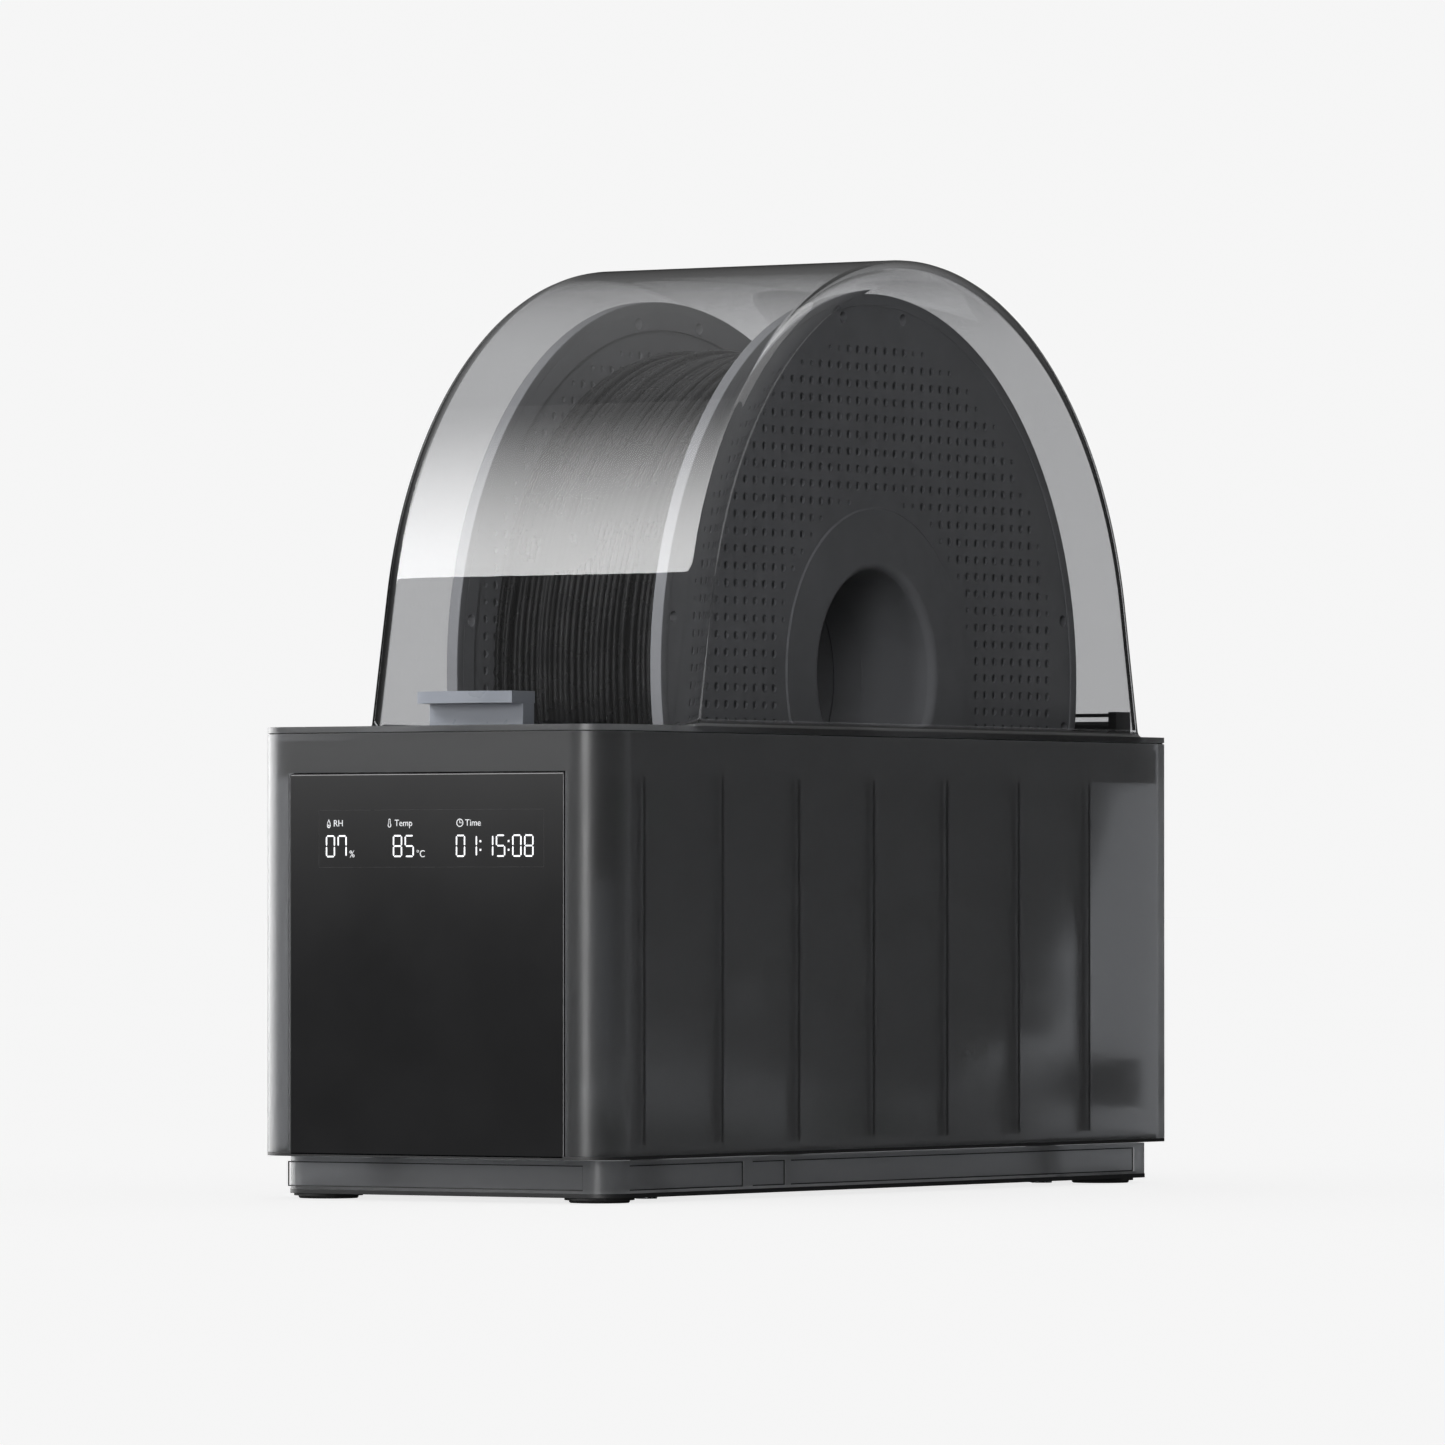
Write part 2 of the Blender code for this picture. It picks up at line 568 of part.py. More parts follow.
def build_feeder():
    housing = box("feeder_housing", (-12, 108, 14.2), (12, 131, 34))
    cut(housing, box("feeder_cavity", (-9, 110.5, 14.8), (20, 128.5, 35)))
    cut(housing, disc("feeder_exit", "Y", (0, OUTLET_Z), 1.5, 126, 135, steps=10))
    paint(DARK_PLASTIC, housing)
    wheels = []
    for name, side in (("feed_drive_wheel", -1), ("feed_idler_wheel", 1)):
        centre = (FEEDER_Y, OUTLET_Z + side * FEED_WHEEL_OFFSET)
        wheel = disc(name, "X", centre, FEED_WHEEL_R, -3, 3, steps=20)
        paint(STEEL, wheel)
        wheels.append(wheel)
    return wheels


def build_outlet():
    fitting = turned(
        "outlet_fitting",
        [
            (4.0, 141.5), (5.2, 141.5), (5.2, 138.0), (8.0, 138.0), (8.0, 135.3), (6.0, 135.3),
            (6.0, 131.6), (2.2, 131.6), (2.2, 138.5), (4.0, 138.5),
        ],
        "Y", (0, OUTLET_Z), steps=24, ring=True,
    )
    paint(PALE_PLASTIC, fitting)
    collet = turned(
        "outlet_collet",
        [(2.4, COLLET_END), (4.8, COLLET_END), (4.8, 142.7), (3.6, 142.7), (3.6, 139.8), (2.4, 139.8)],
        "Y", (0, OUTLET_Z), steps=24, ring=True,
    )
    paint(DARK_PLASTIC, collet)
    return collet


def build_rear():
    inlet = box("power_inlet", (30.2, 118, 20.2), (45.8, 135.2, 33.8))
    cut(inlet, box("inlet_socket", (33, 127, 23), (43, 136, 31)))
    port = box("data_port", (18.2, 124, 22.2), (25.8, 135.2, 29.8))
    cut(port, box("port_socket", (19.7, 129, 23.7), (24.3, 136, 28.3)))
    paint(DARK_PLASTIC, inlet, port)
    grille = box("vent_grille", (VENT_X0, 133.0, VENT_Z0), (VENT_X1, 135.2, VENT_Z1))
    slots = [((VENT_X0 + 1.6, 130, z), (VENT_X1 - 1.6, 140, z + 2.6)) for z in (63.2, 68.4, 73.6, 78.8, 84.0)]
    cut(grille, boxes("grille_slots", slots))
    flap = box("vent_flap", (VENT_X0 + 0.4, 131.0, VENT_Z0 + 0.4), (VENT_X1 - 0.4, 132.2, VENT_Z1 - 0.4))
    paint(DARK_PLASTIC, grille, flap)
    return flap


def build_guide():
    """The filament guide behind the spool: a rod above a roller, between two feet that stand on the deck."""
    bracket = disc("guide_bracket", "X", (GUIDE_Y, 126.1), 0.5, -GUIDE_X, GUIDE_X, steps=8)
    join(bracket, disc("guide_axle", "X", (GUIDE_Y, GUIDE_Z), 0.8, -GUIDE_X, GUIDE_X, steps=8))
    for sign in (-1, 1):
        x0, x1 = sorted((sign * (GUIDE_X - 2.4), sign * GUIDE_X))
        join(bracket, box(f"guide_foot_{sign}", (x0, 119, DECK_TOP + GAP), (x1, GUIDE_Y + 1.9, 126.9)))
    paint(DARK_PLASTIC, bracket)
    reach = GUIDE_X - 2.7
    roller = disc("guide_roller", "X", (GUIDE_Y, GUIDE_Z), 1.8, -reach, reach, bore=1.1, steps=12)
    paint(DARK_PLASTIC, roller)
    return roller


def build_heating():
    housing = box("fan_housing", (-FAN_HALF, FAN_Y0, FAN_Z - FAN_HALF), (FAN_HALF, FAN_Y1, FAN_Z + FAN_HALF))
    cut(housing, disc("fan_bore", "Y", (0, FAN_Z), FAN_BORE_R, FAN_Y0 - 2, FAN_Y1 + 2, steps=32))
    paint(DARK_PLASTIC, housing)
    rotor = disc("fan_rotor", "Y", (0, FAN_Z), 10.0, FAN_Y0 + 2, FAN_Y1 - 2, steps=20)
    blades = 7
    for i in range(blades):
        blade = box(f"fan_blade_{i}", (8.5, -118.5, -0.8), (25.5, -109.5, 0.8))
        turn = Matrix.Rotation(2 * math.pi * i / blades, 4, "Y")
        pitch = Matrix.Rotation(math.radians(35), 4, "X")
        centre = Matrix.Translation(Vector((0, -114.0, 0)) * MM)
        lift = Matrix.Translation(Vector((0, 0, FAN_Z)) * MM)
        blade.matrix_world = lift @ turn @ centre @ pitch @ centre.inverted()
        join(rotor, blade)
    paint(DARK_PLASTIC, rotor)
    heater = box("heater_core", (-30, -106, 40), (30, -93, 80))
    fins = [((x, -110, 44), (x + 5, -90, 76)) for x in (-27, -19, -11, -3, 5, 13, 21)]
    cut(heater, boxes("heater_gaps", fins))
    paint(STEEL, heater)
    board = box("control_board", (-30, -60, 14.8), (30, 60, 16.4))
    raised = [
        ((-24, -50, 16), (-8, -30, 24)), ((4, -48, 16), (20, -36, 21)),
        ((-20, -10, 16), (0, 10, 19)), ((8, 20, 16), (24, 44, 26)),
    ]
    join(board, boxes("board_parts", raised))
    sensor = box("humidity_sensor", (31, -94, 94), (38, -87.4, 104))
    paint(BOARD, board, sensor)
    return rotor


def build_fixed():
    """Every piece that stands still, apart from those built with the moving piece they hold."""
    build_shell()
    build_front()
    build_base()
    build_tub()
    build_deck()
    build_hinge()


def build_moving():
    """Every piece that moves, each hung from an empty on its joint's axis."""
    hang(pivot("lid_axis", 0, HINGE_Y, HINGE_Z), build_lid())
    tab, spring = build_tab()
    hang(pivot("tab_axis", 0, -110.1, LID_TOP), tab)
    hang(bpy.data.objects["lid_axis"], spring)
    hang(pivot("spool_axis", 0, SPOOL_Y, SPOOL_Z), *build_spool())
    pulley, motor_pulley = build_drive()
    hang(pivot("drive_roller_axis", 0, *DRIVE_YZ), pulley, *build_roller("drive", DRIVE_YZ, -46.2))
    hang(pivot("idle_roller_axis", 0, *IDLE_YZ), *build_roller("idle", IDLE_YZ, -TUB_X - 0.1))
    hang(pivot("motor_axis", 0, *MOTOR_YZ), motor_pulley)
    hang(pivot("fan_axis", 0, -114.0, FAN_Z), build_heating())
    for wheel, side in zip(build_feeder(), (-1, 1)):
        hang(pivot(wheel.name + "_axis", 0, FEEDER_Y, OUTLET_Z + side * FEED_WHEEL_OFFSET), wheel)
    hang(pivot("collet_axis", 0, COLLET_END, OUTLET_Z), build_outlet())
    hang(pivot("vent_axis", 0, VENT_HINGE_Y, VENT_HINGE_Z), build_rear())
    hang(pivot("guide_axis", 0, GUIDE_Y, GUIDE_Z), build_guide())


def centre_on_origin():
    """Moves everything so that the origin is under the middle of the overall box, outlet included."""
    shift = Vector((0, -(COLLET_END - SHELL_Y) / 2, 0)) * MM
    for obj in bpy.data.objects:
        if obj.parent is None:
            obj.location += shift
    bpy.context.view_layer.update()


build_fixed()
build_moving()
centre_on_origin()
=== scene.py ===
import math
import random

import bmesh
import bpy
from mathutils import Matrix, Vector


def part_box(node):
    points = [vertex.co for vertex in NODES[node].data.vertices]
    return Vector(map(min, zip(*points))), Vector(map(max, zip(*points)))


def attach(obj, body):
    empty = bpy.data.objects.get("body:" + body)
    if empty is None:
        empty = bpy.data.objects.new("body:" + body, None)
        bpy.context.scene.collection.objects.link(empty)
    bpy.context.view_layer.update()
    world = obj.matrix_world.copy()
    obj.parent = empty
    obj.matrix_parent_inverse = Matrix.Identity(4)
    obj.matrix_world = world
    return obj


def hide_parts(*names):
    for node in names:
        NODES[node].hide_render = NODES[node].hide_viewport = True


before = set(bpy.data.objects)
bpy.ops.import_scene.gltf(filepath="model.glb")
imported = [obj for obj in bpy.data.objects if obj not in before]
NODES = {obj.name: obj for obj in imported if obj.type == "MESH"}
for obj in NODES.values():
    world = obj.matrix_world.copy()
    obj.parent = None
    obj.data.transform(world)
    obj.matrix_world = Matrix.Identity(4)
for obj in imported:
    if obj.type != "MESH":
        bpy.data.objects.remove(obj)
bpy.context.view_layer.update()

MM = 0.001


def corners(name):
    """A CAD node's low and high corners in millimetres."""
    lo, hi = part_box(name)
    return lo / MM, hi / MM


# Every length below is in millimetres, measured from the CAD where it has the shape.
SHELL_LO, SHELL_HI = corners("outer_shell")
MID = (SHELL_LO.y + SHELL_HI.y) / 2  # the shell's middle along Y
HALF_X, HALF_Y = SHELL_HI.x, (SHELL_HI.y - SHELL_LO.y) / 2
SPOOL_LO, SPOOL_HI = corners("spool_half_right")
SPOOL_Y, SPOOL_Z = (SPOOL_LO.y + SPOOL_HI.y) / 2, (SPOOL_LO.z + SPOOL_HI.z) / 2
SPOOL_R, SPOOL_X = (SPOOL_HI.z - SPOOL_LO.z) / 2, SPOOL_HI.x
PLINTH_LO, PLINTH_HI = corners("plinth")
PANEL_LO, PANEL_HI = corners("front_panel")
SHELL_WALL = 2.2
WINDOW_TOP = 108.4  # of the shell's opening for the front panel
FLANGE_Z0, FLANGE_Z1 = 118.6, 120.1
FLANGE_RADIUS, HUB_RADIUS = 97.2, 43.0  # the drilled sheet of a spool flange
FLANGE_INNER = 29.9  # the inner face of a spool flange, along X

# The dome is an arch, half an ellipse along Y, that runs down into straight legs at DOME_START.
DOME_X = 50.7
DOME_Y, DOME_Z = MID + 20.5, 134.2
DOME_RY, DOME_RZ = 106.7, 109.6
DOME_START = 0.199  # radians from the level through the ellipse's centre
DOME_WALL, DOME_EDGE, FILLET = 2.0, 5.8, 1.6

OUTLINE_AXES = {
    "X": Matrix(((0, 0, 1, 0), (1, 0, 0, 0), (0, 1, 0, 0), (0, 0, 0, 1))),
    "Y": Matrix(((1, 0, 0, 0), (0, 0, -1, 0), (0, 1, 0, 0), (0, 0, 0, 1))),
    "Z": Matrix.Identity(4),
}


# Materials

def new_material(name):
    made = bpy.data.materials.new(name)
    made.use_nodes = True
    tree = made.node_tree
    return made, tree, tree.nodes["Principled BSDF"]


def node(tree, kind, **settings):
    made = tree.nodes.new(kind)
    for key, value in settings.items():
        if key in made.inputs.keys():
            made.inputs[key].default_value = value
        else:
            setattr(made, key, value)
    return made


def noise(tree, scale, detail=4.0, stretch=(1, 1, 1)):
    """A noise texture in the object's own coordinates."""
    coords = node(tree, "ShaderNodeTexCoord")
    mapping = node(tree, "ShaderNodeMapping")
    mapping.inputs["Scale"].default_value = stretch
    texture = node(tree, "ShaderNodeTexNoise", Scale=scale, Detail=detail)
    tree.links.new(coords.outputs["Object"], mapping.inputs["Vector"])
    tree.links.new(mapping.outputs["Vector"], texture.inputs["Vector"])
    return texture.outputs["Fac"]


def ramp(tree, source, stops):
    made = node(tree, "ShaderNodeValToRGB")
    elements = made.color_ramp.elements
    while len(elements) < len(stops):
        elements.new(0.5)
    for element, (place, colour) in zip(elements, stops):
        element.position = place
        element.color = (*colour, 1.0)
    tree.links.new(source, made.inputs["Fac"])
    return made.outputs["Color"]


def spread(tree, source, lo, hi):
    """Stretches a noise value over a range."""
    made = node(tree, "ShaderNodeMapRange")
    made.inputs["From Min"].default_value, made.inputs["From Max"].default_value = 0.3, 0.7
    made.inputs["To Min"].default_value, made.inputs["To Max"].default_value = lo, hi
    tree.links.new(source, made.inputs["Value"])
    return made.outputs["Result"]


def bump(tree, shader, source, strength, distance):
    made = node(tree, "ShaderNodeBump", Strength=strength, Distance=distance)
    tree.links.new(source, made.inputs["Height"])
    tree.links.new(made.outputs["Normal"], shader.inputs["Normal"])


def plastic(name, colour, roughness, vary=0.12, grain=900.0, depth=0.25, rough_vary=0.06,
            stretch=(1, 1, 1), **sockets):
    """Moulded plastic, rubber, metal or foam: mottled colour and roughness over a fine grain."""
    made, tree, shader = new_material(name)
    cloud = noise(tree, 35.0, 3.0, stretch)
    dark = tuple(c * (1 - vary) for c in colour)
    light = tuple(min(1.0, c * (1 + vary)) for c in colour)
    tree.links.new(ramp(tree, cloud, [(0.35, dark), (0.65, light)]), shader.inputs["Base Color"])
    rough = spread(tree, noise(tree, 120.0, 3.0, stretch), roughness - rough_vary, roughness + rough_vary)
    tree.links.new(rough, shader.inputs["Roughness"])
    bump(tree, shader, noise(tree, grain, 2.0, stretch), depth, 0.00004)
    for key, value in sockets.items():
        shader.inputs[key.replace("_", " ")].default_value = value
    return made


def clear(name, colour, roughness, ior, transmission=1.0, rough_vary=0.02, depth=0.03, glancing=None):
    """Clear or frosted moulded plastic. Glancing gives painted shade: it darkens the colour against the angle
    at which it is seen, for the dark edges that refraction shows.
    """
    made, tree, shader = new_material(name)
    cloud = noise(tree, 14.0, 2.0)
    dark = tuple(c * 0.985 for c in colour)
    light = tuple(min(1.0, c * 1.015) for c in colour)
    tint = ramp(tree, cloud, [(0.3, dark), (0.7, light)])
    if glancing:
        weight = node(tree, "ShaderNodeLayerWeight", Blend=0.5)
        product = node(tree, "ShaderNodeVectorMath", operation="MULTIPLY")
        shade = ramp(tree, weight.outputs["Facing"], [(facing, (t, t, t)) for facing, t in glancing])
        tree.links.new(tint, product.inputs[0])
        tree.links.new(shade, product.inputs[1])
        tint = product.outputs[0]
    tree.links.new(tint, shader.inputs["Base Color"])
    low = max(0.0, roughness - rough_vary)
    rough = spread(tree, noise(tree, 60.0, 2.0), low, roughness + rough_vary)
    tree.links.new(rough, shader.inputs["Roughness"])
    if depth:
        bump(tree, shader, noise(tree, 400.0, 2.0), depth, 0.00003)
    shader.inputs["IOR"].default_value = ior
    shader.inputs["Transmission Weight"].default_value = transmission
    return made


def absorb(material, density):
    """Smoke tint inside clear plastic, so that thicker places look darker."""
    tree = material.node_tree
    volume = node(tree, "ShaderNodeVolumeAbsorption", Color=(0.0, 0.012, 0.03, 1.0), Density=density)
    tree.links.new(volume.outputs[0], tree.nodes["Material Output"].inputs["Volume"])


# Painted shade: the dome's colour turns dark towards its silhouette, standing in for the dark edges that
# refraction of the surroundings gives.
PAINTED_EDGE_SHADE = [(0.50, 1.0), (0.62, 0.88), (0.75, 0.62), (0.85, 0.36), (0.93, 0.10), (1.0, 0.005)]
DOME_CLEAR = clear("dome_clear", (0.97, 0.97, 0.975), 0.004, 1.5, rough_vary=0.004, depth=0.0, glancing=PAINTED_EDGE_SHADE)
absorb(DOME_CLEAR, 128.0)
SHELL_FROST = clear("shell_frost", (0.398, 0.405, 0.418), 0.33, 1.45, transmission=0.95, rough_vary=0.015,
                    depth=0.04)
PLINTH_FROST = clear("plinth_frost", (0.44, 0.448, 0.462), 0.36, 1.45, transmission=0.9, rough_vary=0.015,
                     depth=0.03)
PANEL_GLOSS = plastic("panel_gloss", (0.0105, 0.0105, 0.011), 0.09, grain=60.0, depth=0.0, rough_vary=0.01)
SPOOL_MATT = plastic("spool_matt", (0.052, 0.053, 0.056), 0.5, vary=0.06, grain=1600.0, depth=0.3)
STRAND = plastic("strand_satin", (0.008, 0.008, 0.0085), 0.27, grain=2500.0, depth=0.02)
TAB_GREY = plastic("tab_grey", (0.20, 0.215, 0.245), 0.33, vary=0.05, grain=1800.0, depth=0.15)
DARK = plastic("dark_moulding", (0.016, 0.0165, 0.0175), 0.5)
TUB_DARK = plastic("tub_moulding", (0.02, 0.0205, 0.0215), 0.45, grain=700.0)
RUBBER = plastic("rubber_soft", (0.014, 0.014, 0.014), 0.75, grain=1200.0, depth=0.5)
RIB = plastic("rib_smoke", (0.075, 0.076, 0.08), 0.5)
# Painted shade: the dark lines round the plinth's recessed fields.
PLINTH_SHADE_LINE = plastic("plinth_frame_line", (0.035, 0.035, 0.036), 0.4)
SEAL = plastic("seal_rubber", (0.022, 0.0225, 0.0235), 0.6, grain=1200.0, depth=0.4)
FOAM = plastic("foam_board", (0.026, 0.026, 0.027), 0.92, vary=0.3, grain=500.0, depth=1.0)
STEEL = plastic("steel_bright", (0.52, 0.53, 0.55), 0.28, vary=0.08, grain=600.0, stretch=(1, 8, 8),
                Metallic=1.0)
BOARD = plastic("board_green", (0.012, 0.07, 0.03), 0.42, vary=0.25, grain=300.0, depth=0.6)
PALE = plastic("pale_moulding", (0.55, 0.55, 0.53), 0.42)
CHIP = plastic("chip_black", (0.01, 0.01, 0.011), 0.4)


def glow(name, colour, strength):
    """A lit display figure."""
    made, tree, shader = new_material(name)
    tint = ramp(tree, noise(tree, 400.0, 2.0), [(0.3, tuple(c * 0.95 for c in colour)), (0.7, colour)])
    tree.links.new(tint, shader.inputs["Emission Color"])
    shader.inputs["Base Color"].default_value = (0.6, 0.6, 0.6, 1)
    shader.inputs["Emission Strength"].default_value = strength
    shader.inputs["Roughness"].default_value = 0.5
    return made


FIGURES = glow("display_figures_white", (0.95, 0.96, 1.0), 0.95)
LABELS = glow("display_labels_white", (0.8, 0.82, 0.86), 0.5)
WINDOW_LINE = plastic("window_line", (0.02, 0.02, 0.021), 0.3)


# Mesh helpers

def mesh_object(name, mesh, matrix=Matrix.Identity(4)):
    made = bpy.data.objects.new(name, mesh)
    bpy.context.scene.collection.objects.link(made)
    made.matrix_world = matrix
    return made


def evaluated(source, name):
    """A mesh object of what a source looks like with its modifiers. The source is used up."""
    bpy.context.view_layer.update()
    mesh = bpy.data.meshes.new_from_object(source.evaluated_get(bpy.context.evaluated_depsgraph_get()))
    mesh.transform(source.matrix_world)
    bpy.data.objects.remove(source, do_unlink=True)
    shape = bmesh.new()
    shape.from_mesh(mesh)
    bmesh.ops.remove_doubles(shape, verts=shape.verts, dist=1e-6)
    bmesh.ops.recalc_face_normals(shape, faces=shape.faces)
    shape.to_mesh(mesh)
    shape.free()
    mesh.name = name
    return mesh_object(name, mesh)


def prism(name, outlines, axis, lo, hi, bevel=0.0, segments=2):
    """A flat outline, with any further outlines as holes, extruded along an axis and its edges bevelled."""
    curve = bpy.data.curves.new(name, "CURVE")
    curve.dimensions = "2D"
    curve.fill_mode = "BOTH"
    curve.extrude = (hi - lo) / 2 * MM
    for outline in outlines:
        spline = curve.splines.new("POLY")
        spline.points.add(len(outline) - 1)
        spline.use_cyclic_u = True
        for point, (u, v) in zip(spline.points, outline):
            point.co = (u * MM, v * MM, 0.0, 1.0)
    source = mesh_object(name + "_curve", curve)
    middle = (lo + hi) / 2 * MM
    shift = Matrix.Translation([middle if axis == letter else 0.0 for letter in "XYZ"])
    source.matrix_world = shift @ OUTLINE_AXES[axis]
    made = evaluated(source, name)
    return bevelled(made, bevel, segments) if bevel else made


def bevelled(obj, width, segments=2):
    modifier = obj.modifiers.new("edge", "BEVEL")
    modifier.width = width * MM
    modifier.segments = segments
    modifier.limit_method = "ANGLE"
    modifier.angle_limit = math.radians(40)
    modifier.miter_outer = "MITER_ARC"
    return evaluated(obj, obj.name)


def boxes(name, pairs):
    """One object of plain boxes, each given by its low and high corners."""
    shape = bmesh.new()
    for lo, hi in pairs:
        low, high = Vector(lo) * MM, Vector(hi) * MM
        placed = Matrix.Translation((low + high) / 2) @ Matrix.Diagonal((*(high - low), 1.0))
        bmesh.ops.create_cube(shape, size=1.0, matrix=placed)
    mesh = bpy.data.meshes.new(name)
    shape.to_mesh(mesh)
    shape.free()
    return mesh_object(name, mesh)


def circle(centre, radius, steps, start=0.0):
    turn = 2 * math.pi / steps
    return [
        (centre[0] + radius * math.cos(start + i * turn), centre[1] + radius * math.sin(start + i * turn))
        for i in range(steps)
    ]


def rectangle(u0, v0, u1, v1):
    return [(u0, v0), (u1, v0), (u1, v1), (u0, v1)]


def border(u0, v0, u1, v1, line):
    """A rectangle and a smaller one inside it, which leaves a thin frame."""
    return [rectangle(u0, v0, u1, v1), rectangle(u0 + line, v0 + line, u1 - line, v1 - line)]


def rounded(x0, y0, x1, y1, front, rear, steps=10):
    """A rectangle's outline with its front corners rounded by one radius and its rear ones by another."""
    outline = []
    plan = ((x1, y0, front, -90), (x1, y1, rear, 0), (x0, y1, rear, 90), (x0, y0, front, 180))
    for x, y, radius, start in plan:
        cx = x - radius if x == x1 else x + radius
        cy = y - radius if y == y1 else y + radius
        count = steps if radius > 2 else 3
        for i in range(count + 1):
            angle = math.radians(start + 90 * i / count)
            outline.append((cx + radius * math.cos(angle), cy + radius * math.sin(angle)))
    return outline


def combine(target, others, operation):
    """Joins or cuts with other objects, which are used up."""
    for other in others:
        modifier = target.modifiers.new(other.name, "BOOLEAN")
        modifier.operation = operation
        modifier.object = other
        modifier.solver = "EXACT"
    made = evaluated(target, target.name)
    for other in others:
        bpy.data.objects.remove(other, do_unlink=True)
    return made


def cut(target, *others):
    return combine(target, others, "DIFFERENCE")


def join(target, *others):
    return combine(target, others, "UNION")


def turned(name, profile, steps):
    """A closed profile of radius and place along X, turned about the spool's axis."""
    mesh = bpy.data.meshes.new(name)
    edges = [(i, (i + 1) % len(profile)) for i in range(len(profile))]
    mesh.from_pydata([(r * MM, 0.0, h * MM) for r, h in profile], edges, [])
    place = Matrix.Translation(Vector((0.0, SPOOL_Y, SPOOL_Z)) * MM)
    source = mesh_object(name, mesh, place @ Matrix.Rotation(math.pi / 2, 4, "Y"))
    screw = source.modifiers.new("turn", "SCREW")
    screw.axis = "Z"
    screw.angle = 2 * math.pi
    screw.steps = screw.render_steps = steps
    screw.use_merge_vertices = True
    screw.merge_threshold = 1e-6
    return evaluated(source, name)


def merged(name, objects):
    """One object holding the meshes of several, which are used up."""
    shape = bmesh.new()
    for obj in objects:
        obj.data.transform(obj.matrix_world)
        shape.from_mesh(obj.data)
        bpy.data.objects.remove(obj, do_unlink=True)
    mesh = bpy.data.meshes.new(name)
    shape.to_mesh(mesh)
    shape.free()
    return mesh_object(name, mesh)


def add(obj, material, body, slot, *replaced, smooth=30):
    """Finishes a piece: its material, shading, body and the CAD nodes that it stands for. Its slot argument
    is not used.
    """
    obj.data.materials.clear()
    obj.data.materials.append(material)
    obj.data.shade_smooth()
    obj.data.set_sharp_from_angle(angle=math.radians(smooth))
    weigh = obj.modifiers.new("flat_faces", "WEIGHTED_NORMAL")
    weigh.keep_sharp = True
    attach(obj, body)
    if replaced:
        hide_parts(*replaced)


# Pieces

def shell_outline(inset):
    """The shell's plan, moved inwards by inset."""
    return rounded(-HALF_X + inset, MID - HALF_Y + inset, HALF_X - inset, MID + HALF_Y - inset,
                   12 - inset, max(1 - inset, 0.05), steps=16)


def rib_strips(near, far, half):
    """Upright strips along both side walls, from near to far out and twice half thick."""
    first, pitch, bottom, top = MID - 117.36, 35.56, 14.6, 107.0
    strips = []
    for i in range(7):
        y = first + pitch * i
        for side in (-1, 1):
            x0, x1 = sorted((side * near, side * far))
            strips.append(((x0, y - half, bottom), (x1, y + half, top)))
    return strips


def make_shell():
    """The frosted shell, a dark foot ring, its ribs, and near-black strips in its wall, painted shade along
    the ribs, that sharpen them.
    """
    walls = [shell_outline(0), shell_outline(SHELL_WALL)]
    bottom = SHELL_LO.z + 0.9
    add(prism("shell_foot", walls, "Z", SHELL_LO.z, bottom - 0.01, bevel=0.2), DARK, "box", "dark_plastic")
    shell = prism("shell_body", walls, "Z", bottom, SHELL_HI.z, bevel=0.35)
    ribs = rib_strips(49.2, HALF_X - SHELL_WALL - 0.02, 0.45)
    add(boxes("shell_ribs", ribs), RIB, "box", "smoked_shell")
    # Near-black strips inside the wall: painted shade along each rib.
    edges = rib_strips(HALF_X - 1.1, HALF_X - 0.35, 0.3)
    add(boxes("shell_rib_edges", edges), CHIP, "box", "smoked_shell")
    front, rear, gap = MID - HALF_Y, MID + HALF_Y, 0.4
    windows = [((-42.6, front - 5, 0), (42.6, front + 4, WINDOW_TOP))]
    for name in ("power_inlet", "data_port", "vent_grille"):
        lo, hi = corners(name)
        windows.append(((lo.x - gap, rear - 4, lo.z - gap), (hi.x + gap, rear + 5, hi.z + gap)))
    hole = prism("outlet_hole", [circle((0, 25), 6.3, 32)], "Y", rear - 5, rear + 5)
    shell = cut(shell, boxes("shell_windows", windows), hole)
    add(shell, SHELL_FROST, "box", "smoked_shell", "outer_shell")


def make_panel():
    panel = boxes("front_panel_gloss", [(PANEL_LO, PANEL_HI)])
    add(bevelled(panel, 0.5, 3), PANEL_GLOSS, "box", "gloss_black", "front_panel")


SEGMENTS = {"0": "abcdef", "1": "bc", "5": "acdfg", "7": "abcf", "8": "abcdefg"}


def digit_bars(figure, x, z, width, height, thick):
    """The lit bars of a seven-segment figure as flat six-sided outlines."""
    half, gap, tip = height / 2, 0.12, thick / 2
    across = {"a": z + height - tip, "g": z + half, "d": z + tip}
    upright = {"f": (x + tip, 1), "b": (x + width - tip, 1), "e": (x + tip, 0), "c": (x + width - tip, 0)}
    bars = []
    for bar in SEGMENTS[figure]:
        if bar in across:
            level, left, right = across[bar], x + tip + gap, x + width - tip - gap
            bars.append([(left, level), (left + tip, level + tip), (right - tip, level + tip),
                         (right, level), (right - tip, level - tip), (left + tip, level - tip)])
        else:
            middle, upper = upright[bar]
            low = z + tip + gap + (half - tip) * upper
            high = low + half - tip - 2 * gap
            bars.append([(middle, low), (middle - tip, low + tip), (middle - tip, high - tip),
                         (middle, high), (middle + tip, high - tip), (middle + tip, low + tip)])
    return bars


def text_mesh(name, words, x, z, size):
    """A small label that stands just proud of the panel."""
    curve = bpy.data.curves.new(name, "FONT")
    curve.body = words
    curve.size = size * MM
    curve.extrude = 0.02 * MM
    place = Matrix.Translation((x * MM, (PANEL_LO.y - 0.02) * MM, z * MM))
    return evaluated(mesh_object(name, curve, place @ Matrix.Rotation(math.pi / 2, 4, "X")), name)


